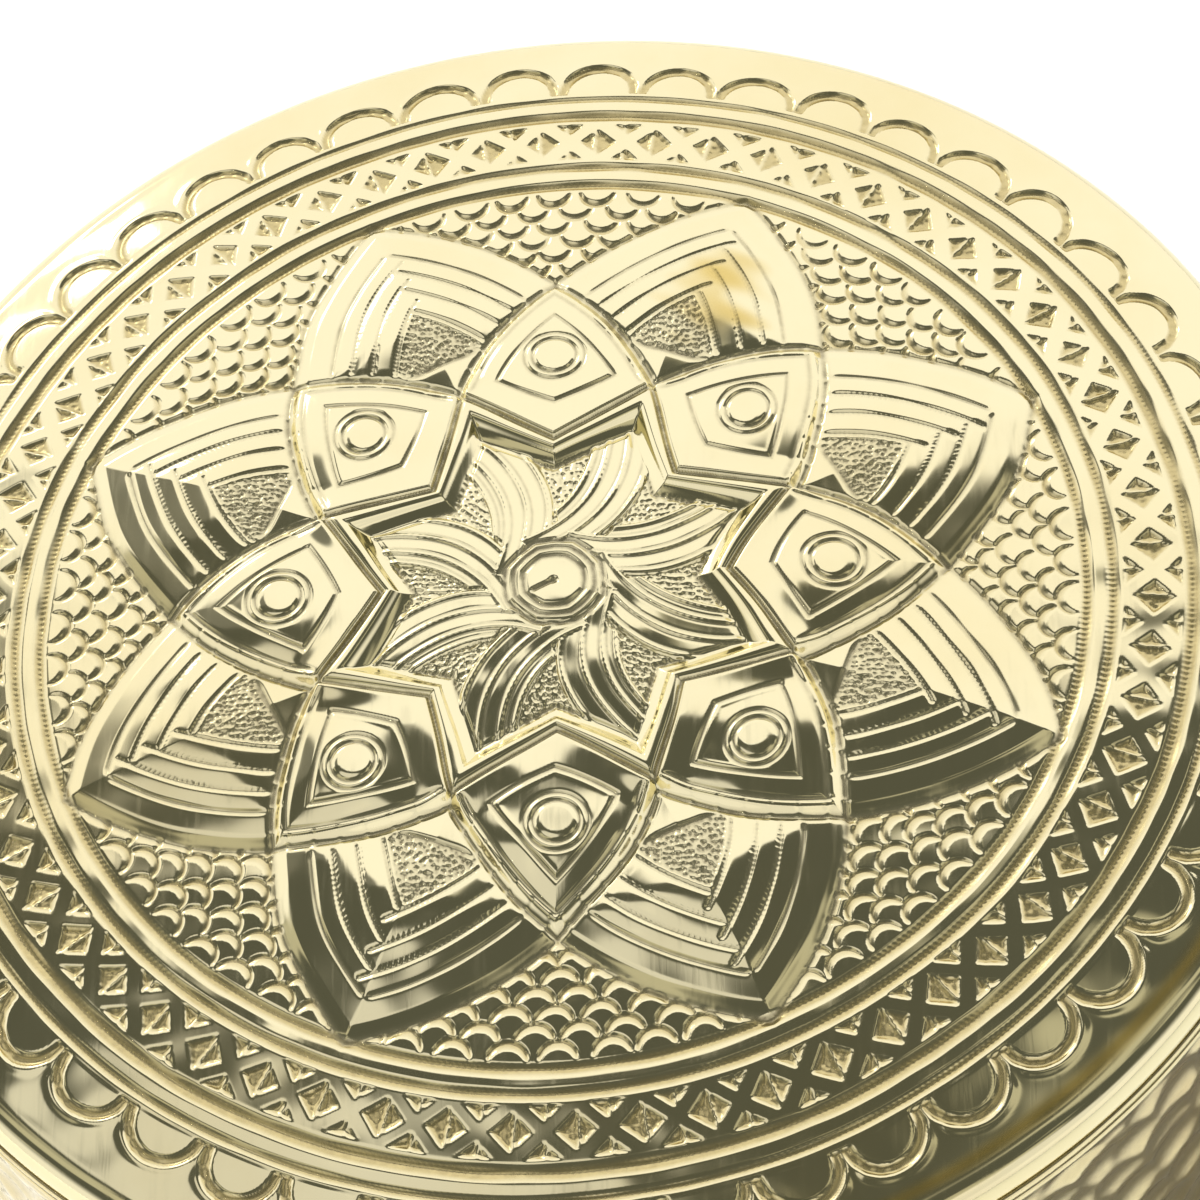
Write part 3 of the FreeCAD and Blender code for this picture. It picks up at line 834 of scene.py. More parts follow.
print(f"relief from {chased.min():.2f} to {chased.max():.2f} mm about the forms")

# %% [markdown]
# ## Dirt, tarnish and a painted reflection on the lid
#
# Polish dries in the chased lines and a cloth doesn't get it out, so the lines are dark. On the
# ground between the petals the sheet has gone golden instead, and so has a spot on one petal. A
# golden band along the inner edge of the shoulder is a painted reflection, laid in as tarnish colour.
# A material can't know how deep a line is, so each point of the mesh carries two numbers for it: how
# much dirt lies there, and how golden the brass is, from tarnish and from the painted band. For
# painting, the skin is laid flat as two discs, a large one of the outside and a small one of the
# inside.

# %% Where dirt and tarnish stay, and the painted reflection band
DIRT_DEPTH = 3.0 * HAIR
GROUND_CLEAN = 0.6
INSIDE_DIRT = 0.5
LINE_STAIN, GROUND_STAIN = 0.08, 0.45
SPOT_X, SPOT_Y = around(1.02 * SPAN, math.radians(64.5))
SPOT_EDGE = (0.17 * SPAN, 0.02 * SPAN)
SPOT_WANDER = 0.03 * SPAN
SPOT_WAVES = (0.08 * SPAN, 0.3 * SPAN)
SPOT_STAIN = 0.85
# A painted reflection: a golden band along the inner edge of the shoulder, towards the front right.
PAINTED_BAND_R = 1.900 * SPAN
PAINTED_BAND_WIDTH = 0.020 * SPAN
PAINTED_BAND_TURN = math.radians(-49)
PAINTED_BAND_ENDS = (0.55, 0.95)
PAINTED_BAND_GOLD = 0.90
sunk = np.clip(-chased / DIRT_DEPTH, 0.0, 1.0)
on_ground = ease(0.0, SOFT, -lines["in_petal"])
recess, stain_and_painted_band = np.zeros_like(z), np.zeros_like(z)
recess[top] = np.maximum(sunk * (1.0 - GROUND_CLEAN * on_ground), grime)
recess[below] = INSIDE_DIRT
from_spot = np.hypot(top_x - SPOT_X, top_y - SPOT_Y) + SPOT_WANDER * ripple(top_x, top_y, *SPOT_WAVES)
# The painted reflection band along the shoulder.
painted_band = ridge(radius[top] - PAINTED_BAND_R, PAINTED_BAND_WIDTH) * ease(*PAINTED_BAND_ENDS, np.cos(angle[top] - PAINTED_BAND_TURN))
in_lines = sunk * (LINE_STAIN + GROUND_STAIN * on_ground)
# Golden from real stains and from the painted reflection band.
stain_and_painted_band[top] = np.max([in_lines, SPOT_STAIN * ease(*SPOT_EDGE, from_spot), PAINTED_BAND_GOLD * painted_band], axis=0)
print(f"dirt lies on {100 * (recess[top] > 0.5).mean():.0f} percent of the chased side")

# %% Make the lid
TOP_PLACE, TOP_SHARE = (0.36, 0.36), 0.352
INSIDE_PLACE, INSIDE_SHARE = (0.86, 0.86), 0.134
lid = mesh_piece("chased_lid", np.stack([x, y, z + MOUTH_Z], 1), stitched(counts), recess)
keep_values(lid.data, "stain_and_painted_band", stain_and_painted_band)
over_edge = np.where(part == EDGE, np.clip(SHOULDER_Z - z, 0.0, None), 0.0)
outward = (radius + over_edge) / (BOX_R + SHOULDER_Z)
inner = np.arange(len(x)) >= sum(row[-1] for row in outside_rows)
spread = np.where(inner, INSIDE_SHARE, TOP_SHARE) * outward
flat = np.where(inner[:, None], INSIDE_PLACE, TOP_PLACE)
flat = flat + np.stack([spread * np.cos(angle), spread * np.sin(angle)], 1)
used = np.empty(len(lid.data.loops), np.int32)
lid.data.loops.foreach_get("vertex_index", used)
lid.data.uv_layers.new(name="OFBake").data.foreach_set("uv", flat[used].astype(np.float32).ravel())
print("the lid's outside and inside lie flat side by side for painting")

# %% [markdown]
# ## The drum
#
# The drum was rolled from a strip, soldered along one upright seam and planished: struck all over
# with a smooth hammer on a round stake. Each blow leaves a shallow hollow, and hollows meet in low
# ridges, which is why the wall shows bright lobes with dark between them. Polish reaches the ridges
# first, so the hollows stay a little duller.

# %% Hammer blows
wall_low, wall_high = corners_mm("body_wall")
FOOT_Z, WALL_TOP = wall_low[2], wall_high[2]
WALL_SHEET = 0.010 * BOX_R
GIRTH = 2 * math.pi * BOX_R
BLOW_PITCH = 0.080 * BOX_R
BLOW_ROUND = 0.165 * BOX_R
BLOW_STRAY = 0.32
BLOW_COLUMNS = round(GIRTH / BLOW_PITCH)
BLOW_ROWS = round((WALL_TOP - FOOT_Z) / BLOW_PITCH) + 4
HOLLOW_DEPTH = 0.42 * BLOW_PITCH ** 2 / (2 * BLOW_ROUND)


def hammered(run, up):
    """Depth of the hollows of a planished wall, 0 on the ridges between them."""
    stray = hand.uniform(-BLOW_STRAY, BLOW_STRAY, (BLOW_ROWS, BLOW_COLUMNS, 2))
    pitch = GIRTH / BLOW_COLUMNS
    column, row = np.floor(run / pitch).astype(int), np.floor(up / BLOW_PITCH).astype(int)
    nearest = np.full_like(run, GIRTH ** 2)
    for step_x in (-1, 0, 1):
        for step_y in (-1, 0, 1):
            blow = np.clip(row + step_y, 0, BLOW_ROWS - 1), (column + step_x) % BLOW_COLUMNS
            shift = 0.5 * (blow[0] % 2)
            away_x = run - (column + step_x + 0.5 + shift + stray[blow][:, 0]) * pitch
            away_y = up - (row + step_y + 0.5 + stray[blow][:, 1]) * BLOW_PITCH
            nearest = np.minimum(nearest, away_x ** 2 + away_y ** 2)
    return np.clip(HOLLOW_DEPTH - nearest / (2 * BLOW_ROUND), 0.0, None)


print(f"{BLOW_COLUMNS} blows in a round, up to {HOLLOW_DEPTH:.2f} mm deep in {WALL_SHEET:.1f} mm of wall")

# %% Turned rings


def turned_ring(name, profile, columns, dent, darken):
    """A closed ring turned from a profile of radius and height, dented and darkened by place."""
    reach, level = np.repeat(np.array(profile), columns, axis=0).T
    turn = np.tile(np.arange(columns) * 2 * math.pi / columns, len(profile))
    row = np.repeat(np.arange(len(profile)), columns)
    reach = reach - dent(reach, level, turn, row)
    points = np.stack([reach * np.cos(turn), reach * np.sin(turn), level], 1)
    faces = stitched([columns] * len(profile), closed=True)
    return mesh_piece(name, points, faces, darken(reach, level, turn, row))


# %% Hammered wall
WALL_ROWS = 100
WALL_COLUMNS = 960
WALL_IN = BOX_R - WALL_SHEET
EDGE_ROUND = 0.2 * WALL_SHEET
SEAM_TURN = math.radians(118)
SEAM_DEPTH = 1.0 * HAIR
SEAM_WIDTH = 5.0 * HAIR
SEAM_DIRT_WIDTH = 8.0 * HAIR
MOUTH_CLEAR, MOUTH_FADE = 26.0 * HAIR, 15.0 * HAIR
FOOT_CLEAR, FOOT_FADE = 30.0 * HAIR, 40.0 * HAIR
MOUTH_WIRE_DARK_BAND = (WALL_TOP - 55.0 * HAIR, WALL_TOP - 20.0 * HAIR)
FOOT_WIRE_DARK_BAND = (FOOT_Z + 50.0 * HAIR, FOOT_Z + 20.0 * HAIR)
WIRE_BAND_DARKENING, HOLLOW_DIRT, WALL_INSIDE_DIRT = 0.5, 0.33, 0.6
outer_levels = np.linspace(WALL_TOP - EDGE_ROUND, FOOT_Z + EDGE_ROUND, WALL_ROWS)
inner_levels = np.linspace(FOOT_Z + EDGE_ROUND, WALL_TOP - EDGE_ROUND, WALL_ROWS // 4)
wall_profile = [(BOX_R - EDGE_ROUND, WALL_TOP)]
wall_profile += [(BOX_R, h) for h in outer_levels]
wall_profile += [(BOX_R - EDGE_ROUND, FOOT_Z), (WALL_IN + EDGE_ROUND, FOOT_Z)]
wall_profile += [(WALL_IN, h) for h in inner_levels]
wall_profile += [(WALL_IN + EDGE_ROUND, WALL_TOP)]


def wall_dents(reach, level, turn, row):
    """Hollows on the outside only, fading out under the wires, and a fine sunk seam."""
    depth = hammered(turn * BOX_R, level) * ease(0.0, MOUTH_FADE, WALL_TOP - MOUTH_CLEAR - level)
    depth *= ease(0.0, FOOT_FADE, level - FOOT_Z - FOOT_CLEAR)
    depth += SEAM_DEPTH * ridge((turn - SEAM_TURN) * BOX_R, SEAM_WIDTH)
    return np.where((row >= 1) & (row <= WALL_ROWS), depth, 0.0)


def wall_dirt(reach, level, turn, row):
    """Darker in a band under the mouth wire and over the foot wire; tarnish along the seam, in the hollows
    and on the inside.
    """
    # The wall is darker in a band under the mouth wire and in a band over the foot wire.
    dirt = WIRE_BAND_DARKENING * (ease(*MOUTH_WIRE_DARK_BAND, level) + ease(*FOOT_WIRE_DARK_BAND, level))
    dirt += ridge((turn - SEAM_TURN) * BOX_R, SEAM_DIRT_WIDTH)
    dirt += HOLLOW_DIRT * np.sqrt(np.clip((BOX_R - reach) / WALL_SHEET, 0.0, 1.0))
    return np.where((row >= 1) & (row <= WALL_ROWS), np.clip(dirt, 0.0, 1.0), WALL_INSIDE_DIRT)


drum = turned_ring("hammered_drum", wall_profile, WALL_COLUMNS, wall_dents, wall_dirt)

# %% [markdown]
# ## Wires, collar and base
#
# Half-round wire stiffens the edges of sheet. Each ring of wire was bent, soldered shut and filed, so
# its width varies by hairs. Inside, a plain hoop keeps the lid in place, and a pan closes the foot.

# %% Half-round wires
WIRE_ROWS = 11
WIRE_COLUMNS = 720
WIRE_GAP = 0.2 * HAIR
WIRE_FULLNESS = 0.8
FILED_SHARE, FILED_VARIES, FILED_MOST = 0.10, 0.05, 0.2
FILED_WAVES = (90.0 * HAIR, 600.0 * HAIR)


def wire(name, node):
    """A ring of half-round wire, flat on the wall, with the small unevenness of hand filing."""
    low, high = corners_mm(node)
    middle, half = (low[2] + high[2]) / 2, (high[2] - low[2]) / 2
    foot = BOX_R + WIRE_GAP
    proud = high[0] - foot
    turns = np.linspace(math.pi / 2, -math.pi / 2, WIRE_ROWS)
    profile = [(foot + proud * math.cos(t) ** WIRE_FULLNESS, middle + half * math.sin(t)) for t in turns]

    def filed(reach, level, turn, row):
        wave = ripple(turn * BOX_R, np.zeros_like(turn), *FILED_WAVES)
        share = np.clip(FILED_SHARE + FILED_VARIES * wave, 0.0, FILED_MOST)
        return share * proud * (reach > foot + 0.3 * proud)

    def solder(reach, level, turn, row):
        return ease(0.6, 0.1, (reach - foot) / proud)

    return turned_ring(name, profile, WIRE_COLUMNS, filed, solder)


lid_wire = wire("lid_bead_wire", "lid_edge_wire")
mouth_wire = wire("mouth_bead_wire", "mouth_wire")
foot_wire = wire("foot_bead_wire", "foot_wire")

# %% Collar
collar_low, collar_high = corners_mm("lid_collar")
COLLAR_FOOT, COLLAR_TOP, COLLAR_OUT = collar_low[2], collar_high[2], collar_high[0]
COLLAR_SHEET = 0.009 * BOX_R
COLLAR_IN = COLLAR_OUT - COLLAR_SHEET
COLLAR_LEAD = 0.35 * COLLAR_SHEET
COLLAR_BEND = COLLAR_FOOT + 12.0 * HAIR
COLLAR_ROWS = 12
COLLAR_COLUMNS = 480
JOIN_PLACE, JOIN_WIDTH, JOIN_DEPTH = 400.0 * HAIR, 6.0 * HAIR, 0.6 * HAIR
COLLAR_DENTS, COLLAR_DENT_WAVES = 0.3 * HAIR, (80.0 * HAIR, 400.0 * HAIR)
COLLAR_DIRT, COLLAR_DIRT_VARIES, COLLAR_DIRT_WAVES = 0.35, 0.3, (100.0 * HAIR, 600.0 * HAIR)
collar_profile = [(COLLAR_OUT, h) for h in np.linspace(COLLAR_TOP, COLLAR_BEND, COLLAR_ROWS)]
collar_profile += [(COLLAR_OUT - COLLAR_LEAD, COLLAR_FOOT + 2.0 * HAIR)]
collar_profile += [(COLLAR_OUT - COLLAR_SHEET / 2, COLLAR_FOOT), (COLLAR_IN, COLLAR_FOOT + 3.0 * HAIR)]
collar_profile += [(COLLAR_IN, h) for h in np.linspace(COLLAR_BEND, COLLAR_TOP, COLLAR_ROWS)]


def collar_dents(reach, level, turn, row):
    """Faint dents of bending, and the soldered join."""
    dents = COLLAR_DENTS * np.abs(ripple(turn * BOX_R, level, *COLLAR_DENT_WAVES))
    return dents + JOIN_DEPTH * ridge(turn * BOX_R - JOIN_PLACE, JOIN_WIDTH)


def collar_dirt(reach, level, turn, row):
    """Cloudy tarnish that no cloth reached."""
    clouds = ripple(turn * BOX_R, level, *COLLAR_DIRT_WAVES)
    return np.clip(COLLAR_DIRT + COLLAR_DIRT_VARIES * clouds, 0.0, 1.0)


collar = turned_ring("lid_hoop", collar_profile, COLLAR_COLUMNS, collar_dents, collar_dirt)

# %% Base
base_low, base_high = corners_mm("base_plate")
BASE_FOOT, BASE_TOP, BASE_OUT = base_low[2], base_high[2], base_high[0]
BASE_SHEET = 0.012 * BOX_R
BASE_BEND = 0.02 * BOX_R
BASE_CORNER = 3.0 * HAIR
BASE_COLUMNS = 480
FLAT_ROWS = 60
BEND_ROWS = 6
BASE_DENTS, BASE_DENT_WAVES = 0.6 * HAIR, (80.0 * HAIR, 300.0 * HAIR, 12)
BASE_DIRT, BASE_DIRT_VARIES, BASE_DIRT_WAVES = 0.4, 0.25, (200.0 * HAIR, 800.0 * HAIR)


def pan_rows():
    """Rows of the pan: under side from the centre out, round the bend, over the edge and back."""
    flat_end = BASE_OUT - BASE_BEND
    turns = np.linspace(-math.pi / 2, 0.0, BEND_ROWS + 1)[1:]

    def bent(bend_r, turns):
        middle = BASE_FOOT + BASE_BEND
        return [(flat_end + bend_r * math.cos(t), middle + bend_r * math.sin(t)) for t in turns]

    under = [(r, BASE_FOOT) for r in np.linspace(0.0, flat_end, FLAT_ROWS)]
    over = [(r, BASE_FOOT + BASE_SHEET) for r in np.linspace(flat_end, 0.0, FLAT_ROWS)]
    edge = [(BASE_OUT, BASE_TOP - BASE_CORNER), (BASE_OUT - BASE_CORNER, BASE_TOP)]
    edge += [(BASE_OUT - BASE_SHEET + BASE_CORNER, BASE_TOP), (BASE_OUT - BASE_SHEET, BASE_TOP - BASE_CORNER)]
    return under + bent(BASE_BEND, turns) + edge + bent(BASE_BEND - BASE_SHEET, turns[::-1]) + over


pan_reach, pan_level = zip(*pan_rows())
pan_counts = [1 if r == 0 else BASE_COLUMNS for r in pan_reach]
pan_r, pan_z = np.repeat(pan_reach, pan_counts), np.repeat(pan_level, pan_counts)
pan_turn = np.concatenate([np.arange(n) * 2 * math.pi / n for n in pan_counts])
pan_x, pan_y = pan_r * np.cos(pan_turn), pan_r * np.sin(pan_turn)
dented = ease(BASE_OUT - BASE_BEND, BASE_OUT - 3 * BASE_BEND, pan_r)
pan_z = np.maximum(pan_z + BASE_DENTS * dented * ripple(pan_x, pan_y, *BASE_DENT_WAVES), BASE_FOOT)
pan_dirt = np.clip(BASE_DIRT + BASE_DIRT_VARIES * ripple(pan_x, pan_y, *BASE_DIRT_WAVES), 0.0, 1.0)
base = mesh_piece("base_pan", np.stack([pan_x, pan_y, pan_z], 1), stitched(pan_counts), pan_dirt)

# %% [markdown]
# ## Brass
#
# Polished brass is pale gold where it mirrors something bright and olive where it mirrors the dark.
# Polish never reaches the chased lines, so dirt stays there, and a cloth leaves fine scratches. Both
# effects are on every piece, so each is a node group, placed in each material with its own values.

# %% Node helpers


def add(tree, kind, inputs=None, **settings):
    """Adds a node, sets it up and feeds its inputs with sockets or values."""
    new = tree.nodes.new(kind)
    for name, value in settings.items():
        setattr(new, name, value)
    for name, value in (inputs or {}).items():
        if isinstance(value, bpy.types.NodeSocket):
            tree.links.new(value, new.inputs[name])
        else:
            new.inputs[name].default_value = value
    return new


def maths(tree, operation, *values):
    """The result of a sum on sockets or numbers."""
    return add(tree, "ShaderNodeMath", dict(enumerate(values)), operation=operation).outputs[0]


def noise(tree, place, scale, detail, roughness=0.5):
    """Soft random clouds over a surface."""
    inputs = {"Vector": place, "Scale": scale, "Detail": detail, "Roughness": roughness}
    return add(tree, "ShaderNodeTexNoise", inputs).outputs["Fac"]


def remap(tree, value, edge, low=0.0, high=1.0, kind="LINEAR"):
    """Goes from low to high as a value crosses an edge from its start to its end."""
    inputs = {"Value": value, "From Min": edge[0], "From Max": edge[1], "To Min": low, "To Max": high}
    return add(tree, "ShaderNodeMapRange", inputs, interpolation_type=kind).outputs["Result"]


def mix_colours(tree, share, one, two):
    """Goes from one colour to another by a share."""
    return add(tree, "ShaderNodeMix", {0: share, 6: one, 7: two}, data_type="RGBA").outputs[2]


def new_group(name, takes, gives):
    """An empty shader group with named sockets, the sockets that it is given, and its output node."""
    tree = bpy.data.node_groups.new(name, "ShaderNodeTree")
    for label, kind, start in takes:
        tree.interface.new_socket(label, in_out="INPUT", socket_type=kind).default_value = start
    for label, kind in gives:
        tree.interface.new_socket(label, in_out="OUTPUT", socket_type=kind)
    return tree, tree.nodes.new("NodeGroupInput").outputs, tree.nodes.new("NodeGroupOutput")


def give(tree, out, results):
    """Joins results to the named inputs of a node."""
    for label, socket in results.items():
        tree.links.new(socket, out.inputs[label])


FLOAT, COLOR = "NodeSocketFloat", "NodeSocketColor"

# %% Tarnish group
CLOUD_EDGE = (0.42, 0.72)
GRAIN_SCALE = 900.0
GRAIN_EDGE = (0.3, 0.7)
GRAIN_LEAST = 0.55


def tarnish_group():
    """Brass colour that darkens in recesses and goes golden in soft patches and where the stain numbers ask,
    which include a painted reflection band, and masks for dirt and patches.
    """
    takes = [
        ("Polished", COLOR, (0.9, 0.8, 0.5, 1)),
        ("Tarnished", COLOR, (0.6, 0.4, 0.15, 1)),
        ("Dirt", COLOR, (0.1, 0.07, 0.03, 1)),
        ("Patch Size", FLOAT, 20.0),
        ("Patch Amount", FLOAT, 0.2),
        ("Recess Amount", FLOAT, 0.8),
    ]
    gives = [("Color", COLOR), ("Dirt Mask", FLOAT), ("Patch Mask", FLOAT)]
    tree, given, out = new_group("brass_tarnish", takes, gives)
    place = add(tree, "ShaderNodeTexCoord").outputs["Object"]
    recess = add(tree, "ShaderNodeAttribute", attribute_name="recess").outputs["Fac"]
    # The stain numbers hold real stains and, on the lid, the painted reflection band along the shoulder.
    stain_and_painted_band = add(tree, "ShaderNodeAttribute", attribute_name="stain_and_painted_band").outputs["Fac"]
    clouds = remap(tree, noise(tree, place, given["Patch Size"], 6.0, 0.62), CLOUD_EDGE)
    patches = maths(tree, "MAXIMUM", maths(tree, "MULTIPLY", clouds, given["Patch Amount"]), stain_and_painted_band)
    grains = remap(tree, noise(tree, place, GRAIN_SCALE, 3.0), GRAIN_EDGE, GRAIN_LEAST)
    dirt = maths(tree, "MULTIPLY", maths(tree, "MULTIPLY", recess, grains), given["Recess Amount"])
    metal = mix_colours(tree, patches, given["Polished"], given["Tarnished"])
    colour = mix_colours(tree, dirt, metal, given["Dirt"])
    give(tree, out, {"Color": colour, "Dirt Mask": dirt, "Patch Mask": patches})
    return tree


tarnish = tarnish_group()
print("group", tarnish.name, "has", len(tarnish.nodes), "nodes")

# %% Polishing marks group
CLOTH_HEADINGS = (0.3, 1.4, 2.5)
SCRATCH_STRETCH = (1.0, 0.10, 0.5)
SCRATCH_EDGE = (0.60, 0.75)
SCRATCH_DEPTH = -0.006


def polish_group():
    """Fine scratches in three directions, as a mask and as a height for bumps."""
    takes = [("Fineness", FLOAT, 700.0), ("Waviness", FLOAT, 60.0)]
    tree, given, out = new_group("polish_marks", takes, [("Scratches", FLOAT), ("Height", FLOAT)])
    place = add(tree, "ShaderNodeTexCoord").outputs["Object"]
    scratches = []
    for heading in CLOTH_HEADINGS:
        inputs = {"Vector": place, "Rotation": (0.0, 0.0, heading), "Scale": SCRATCH_STRETCH}
        stretched = add(tree, "ShaderNodeMapping", inputs).outputs["Vector"]
        scratches.append(remap(tree, noise(tree, stretched, given["Fineness"], 2.0), SCRATCH_EDGE))
    first, second, third = scratches
    every = maths(tree, "MAXIMUM", maths(tree, "MAXIMUM", first, second), third)
    waves = noise(tree, place, given["Waviness"], 1.0)
    height = maths(tree, "MULTIPLY_ADD", every, SCRATCH_DEPTH, waves)
    give(tree, out, {"Scratches": every, "Height": height})
    return tree


polish = polish_group()
print("group", polish.name, "has", len(polish.nodes), "nodes")

# %% Brass materials
DIRT_COLOUR = (0.085, 0.062, 0.030)
DIRT_ROUGHER, PATCH_ROUGHER, SCRATCH_ROUGHER = 0.34, 0.17, 0.05
DIRT_METALLIC = -0.30


def brass(name, polished, tarnished, patch_size, patches, dirt, roughness, waviness, bump):
    """A brass finish: the two groups feed colour, roughness, metallic and normal of one shader."""
    material = bpy.data.materials.new(name)
    material.use_nodes = True
    tree = material.node_tree
    colours = {"Polished": (*polished, 1), "Tarnished": (*tarnished, 1), "Dirt": (*DIRT_COLOUR, 1)}
    amounts = {"Patch Size": patch_size, "Patch Amount": patches, "Recess Amount": dirt}
    stain_and_painted_band = add(tree, "ShaderNodeGroup", node_tree=tarnish)
    for label, value in {**colours, **amounts}.items():
        stain_and_painted_band.inputs[label].default_value = value
    marks = add(tree, "ShaderNodeGroup", node_tree=polish)
    marks.inputs["Waviness"].default_value = waviness
    rough = maths(tree, "MULTIPLY_ADD", stain_and_painted_band.outputs["Dirt Mask"], DIRT_ROUGHER, roughness)
    rough = maths(tree, "MULTIPLY_ADD", stain_and_painted_band.outputs["Patch Mask"], PATCH_ROUGHER, rough)
    rough = maths(tree, "MULTIPLY_ADD", marks.outputs["Scratches"], SCRATCH_ROUGHER, rough)
    metallic = maths(tree, "MULTIPLY_ADD", stain_and_painted_band.outputs["Dirt Mask"], DIRT_METALLIC, 1.0)
    bumps = {"Height": marks.outputs["Height"], "Strength": 1.0, "Distance": bump * HAIR * MM}
    normal = add(tree, "ShaderNodeBump", bumps).outputs["Normal"]
    results = {"Base Color": stain_and_painted_band.outputs["Color"], "Roughness": rough}
    give(tree, tree.nodes["Principled BSDF"], {**results, "Metallic": metallic, "Normal": normal})
    return material


chased_brass = brass(
    "chased_brass", polished=(0.91, 0.83, 0.51), tarnished=(0.74, 0.55, 0.15),
    patch_size=14.0, patches=0.30, dirt=0.80, roughness=0.075, waviness=70.0, bump=2.2)
hammered_brass = brass(
    "hammered_brass", polished=(0.86, 0.76, 0.43), tarnished=(0.58, 0.40, 0.15),
    patch_size=22.0, patches=0.45, dirt=0.70, roughness=0.10, waviness=60.0, bump=3.0)
wire_brass = brass(
    "wire_brass", polished=(0.88, 0.78, 0.45), tarnished=(0.60, 0.42, 0.16),
    patch_size=40.0, patches=0.40, dirt=0.70, roughness=0.10, waviness=90.0, bump=2.0)
inside_brass = brass(
    "inside_brass", polished=(0.74, 0.58, 0.29), tarnished=(0.42, 0.28, 0.11),
    patch_size=30.0, patches=0.90, dirt=0.55, roughness=0.30, waviness=80.0, bump=3.0)

# %% Dress the pieces
DRESS = [
    (lid, "lid", "lid_cap", "chased_brass", chased_brass),
    (lid_wire, "lid", "lid_edge_wire", "wire_brass", wire_brass),
    (collar, "lid", "lid_collar", "inside_brass", inside_brass),
    (drum, "box", "body_wall", "hammered_brass", hammered_brass),
    (mouth_wire, "box", "mouth_wire", "wire_brass", wire_brass),
    (foot_wire, "box", "foot_wire", "wire_brass", wire_brass),
    (base, "box", "base_plate", "inside_brass", inside_brass),
]
for piece, body, node, slot, material in DRESS:
    piece.data.materials.append(material)
    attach(piece, body)
    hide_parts(node)
print(len(DRESS), "pieces dressed")

# %% [markdown]
# ## The room
#
# Polished metal looks like what stands round it, so the room is part of the finish. It has a bright
# window wall behind the box, with a dark post in it, a paler patch of skylight overhead, a pale wall
# on the near side and a pale low horizon. The rest is dim, with a few paler things. The room is the
# world's colour by direction, which only mirrors see: the eye sees white. A level face mirrors the
# window's upper edge, so a small lean of the sheet turns it from pale to dark, as on real brass.

# %% Room
WINDOW = ((-0.05, 0.85, -0.42), (0.055, 0.080))
POST = ((-0.43, 0.46, 0.77), (math.cos(math.radians(8.5)), math.cos(math.radians(6.0))))
SKYLIGHT = ((-0.265, 0.12, 0.957), (math.cos(math.radians(13.0)), math.cos(math.radians(10.5))))
NEAR_WALL = ((0.1, -0.8, -0.6), (0.10, 0.20))
HORIZON = (0.50, 0.20)
POST_LEAST, SKYLIGHT_MOST, NEAR_WALL_MOST, HORIZON_MOST = 0.1, 0.66, 0.75, 0.85
CLUTTER_SCALE, CLUTTER_DETAIL, CLUTTER_EDGE = 3.0, 1.5, (0.53, 0.60)
DIM, CLUTTER, BRIGHT = (0.100, 0.104, 0.092, 1), (0.56, 0.54, 0.46, 1), (1.13, 1.11, 1.16, 1)
SOFT_LIGHT = 0.10
room = bpy.data.worlds.new("window_room")
bpy.context.scene.world = room
room.use_nodes = True
tree = room.node_tree
tree.nodes.clear()
ray = add(tree, "ShaderNodeTexCoord").outputs["Generated"]


def patch(place, low=0.0, high=1.0):
    """A patch of the room with a soft edge: low outside it and high inside, by direction."""
    towards, edge = place
    inputs = {0: ray, 1: Vector(towards).normalized()}
    facing = add(tree, "ShaderNodeVectorMath", inputs, operation="DOT_PRODUCT").outputs["Value"]
    return remap(tree, facing, edge, low, high, "SMOOTHSTEP")


upward = add(tree, "ShaderNodeSeparateXYZ", {"Vector": ray}).outputs["Z"]
pale = maths(tree, "MULTIPLY", patch(WINDOW), patch(POST, 1.0, POST_LEAST))
pale = maths(tree, "MAXIMUM", pale, remap(tree, upward, HORIZON, 0.0, HORIZON_MOST, "SMOOTHSTEP"))
pale = maths(tree, "MAXIMUM", pale, patch(NEAR_WALL, 0.0, NEAR_WALL_MOST))
pale = maths(tree, "MAXIMUM", pale, patch(SKYLIGHT, 0.0, SKYLIGHT_MOST))
clutter = remap(tree, noise(tree, ray, CLUTTER_SCALE, CLUTTER_DETAIL), CLUTTER_EDGE)
paint = mix_colours(tree, pale, mix_colours(tree, clutter, DIM, CLUTTER), BRIGHT)
walls = add(tree, "ShaderNodeBackground", {"Color": paint}).outputs[0]
white = add(tree, "ShaderNodeBackground", {"Color": (1, 1, 1, 1)}).outputs[0]
soft = add(tree, "ShaderNodeBackground", {"Color": (1, 1, 1, 1), "Strength": SOFT_LIGHT}).outputs[0]
path = add(tree, "ShaderNodeLightPath").outputs
mirrored = add(tree, "ShaderNodeMixShader", {0: path["Is Glossy Ray"], 1: soft, 2: walls}).outputs[0]
seen = add(tree, "ShaderNodeMixShader", {0: path["Is Camera Ray"], 1: mirrored, 2: white}).outputs[0]
add(tree, "ShaderNodeOutputWorld", {"Surface": seen})
bpy.context.scene.view_settings.view_transform = "Standard"
print("the room has", len(tree.nodes), "nodes")

# %% [markdown]
# ## Table, lamps and camera
#
# In the photo the box stands on white and is seen from above, with the camera tilted a little. The
# table is a wide white sheet that glows faintly for the eye and in mirrors. A large lamp high on
# the left draws the soft shadow; the brass doesn't mirror it, because the room already gives the
# highlights. A small, weak one stands behind on the left. The camera was fitted to the eight-fold
# pattern, and all distances are in radii of the box.

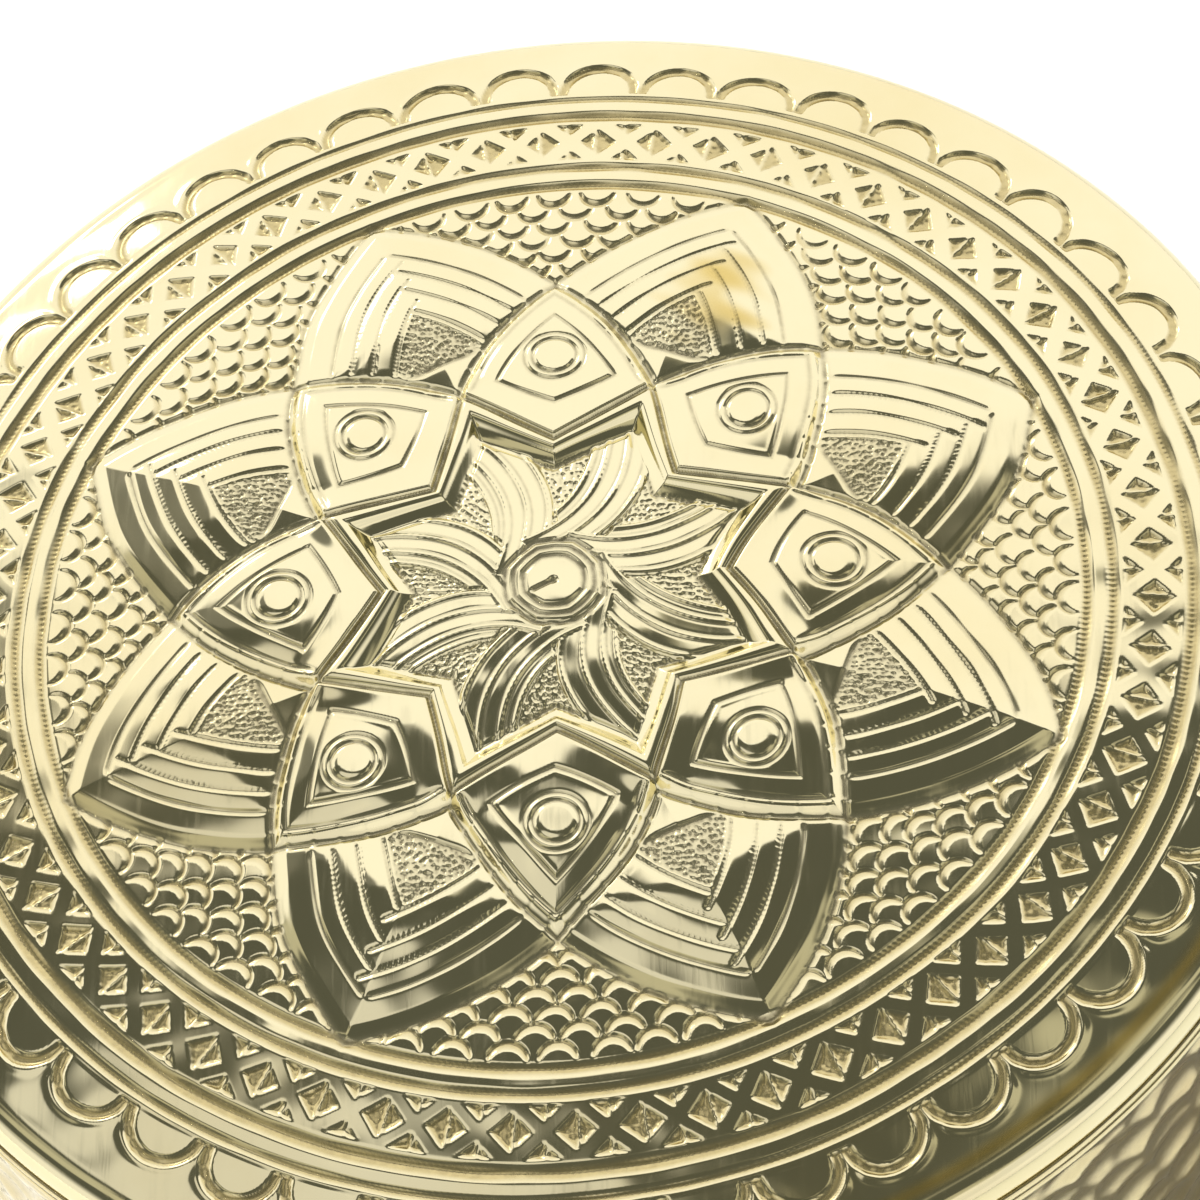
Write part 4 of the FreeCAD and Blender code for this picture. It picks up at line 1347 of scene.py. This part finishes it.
# %% Table
TABLE_HALF = 30.0 * BOX_R * MM
TABLE_SHADES = (0.86, 0.90)
TABLE_GLOW = 0.05
corners = [(x * TABLE_HALF, y * TABLE_HALF, 0.0) for x, y in ((-1, -1), (1, -1), (1, 1), (-1, 1))]
table_mesh = bpy.data.meshes.new("table")
table_mesh.from_pydata(corners, [], [(0, 1, 2, 3)])
table = bpy.data.objects.new("table", table_mesh)
bpy.context.collection.objects.link(table)
table_white = bpy.data.materials.new("table_white")
table_white.use_nodes = True
tree = table_white.node_tree
shader = tree.nodes["Principled BSDF"]
shader.inputs["Roughness"].default_value = 0.7
shader.inputs["Emission Color"].default_value = (1, 1, 1, 1)
mottle = noise(tree, add(tree, "ShaderNodeTexCoord").outputs["Object"], 9.0, 3.0)
path = add(tree, "ShaderNodeLightPath").outputs
seen = maths(tree, "MAXIMUM", path["Is Camera Ray"], path["Is Glossy Ray"])
glow = maths(tree, "MULTIPLY", seen, TABLE_GLOW)
give(tree, shader, {"Base Color": remap(tree, mottle, (0.0, 1.0), *TABLE_SHADES), "Emission Strength": glow})
table_mesh.materials.append(table_white)
print(f"the table is {2 * TABLE_HALF:.1f} m wide")

# %% Lamps
LID_MIDDLE = (0.0, 0.0, 0.8 * BOX_R * MM)
BOX_MIDDLE = (0.0, 0.0, 0.5 * BOX_R * MM)


def lamp(name, place, aim, size, power):
    """A square soft lamp that looks at a point; place and size in radii of the box."""
    data = bpy.data.lights.new(name, "AREA")
    data.size = size * BOX_R * MM
    data.energy = power
    holder = bpy.data.objects.new(name, data)
    bpy.context.collection.objects.link(holder)
    holder.location = Vector(place) * BOX_R * MM
    holder.rotation_euler = (Vector(aim) - holder.location).to_track_quat("-Z", "Y").to_euler()
    print(name, "stands", [round(c, 2) for c in holder.location])
    return holder


key = lamp("key_lamp", (-24.0, 2.8, 46.0), BOX_MIDDLE, 12.0, 335.0)
key.visible_glossy = False
lamp("side_lamp", (-5.5, 9.5, 6.2), LID_MIDDLE, 2.2, 0.6)

# %% Camera
AZIMUTH = math.radians(8.89)
ELEVATION = math.radians(55.95)
ROLL = math.radians(-11.15)
AIM = Vector((0.057, -0.020, 0.963)) * BOX_R * MM
REACH = 5.126 * BOX_R * MM
level = math.cos(ELEVATION)
back = Vector((math.sin(AZIMUTH) * level, -math.cos(AZIMUTH) * level, math.sin(ELEVATION)))
right = Vector((math.cos(AZIMUTH), math.sin(AZIMUTH), 0.0))
up = back.cross(right)
tilted_right = right * math.cos(ROLL) + up * math.sin(ROLL)
tilted_up = up * math.cos(ROLL) - right * math.sin(ROLL)
camera_data = bpy.data.cameras.new("camera")
camera_data.sensor_width = 36.0
camera_data.lens = 118.6
camera_data.clip_start = 0.01
camera = bpy.data.objects.new("camera", camera_data)
bpy.context.collection.objects.link(camera)
stance = Matrix((tilted_right, tilted_up, back)).transposed().to_4x4()
camera.matrix_world = Matrix.Translation(AIM + back * REACH) @ stance
bpy.context.scene.camera = camera
print("camera stands", [round(c, 3) for c in camera.matrix_world.translation])
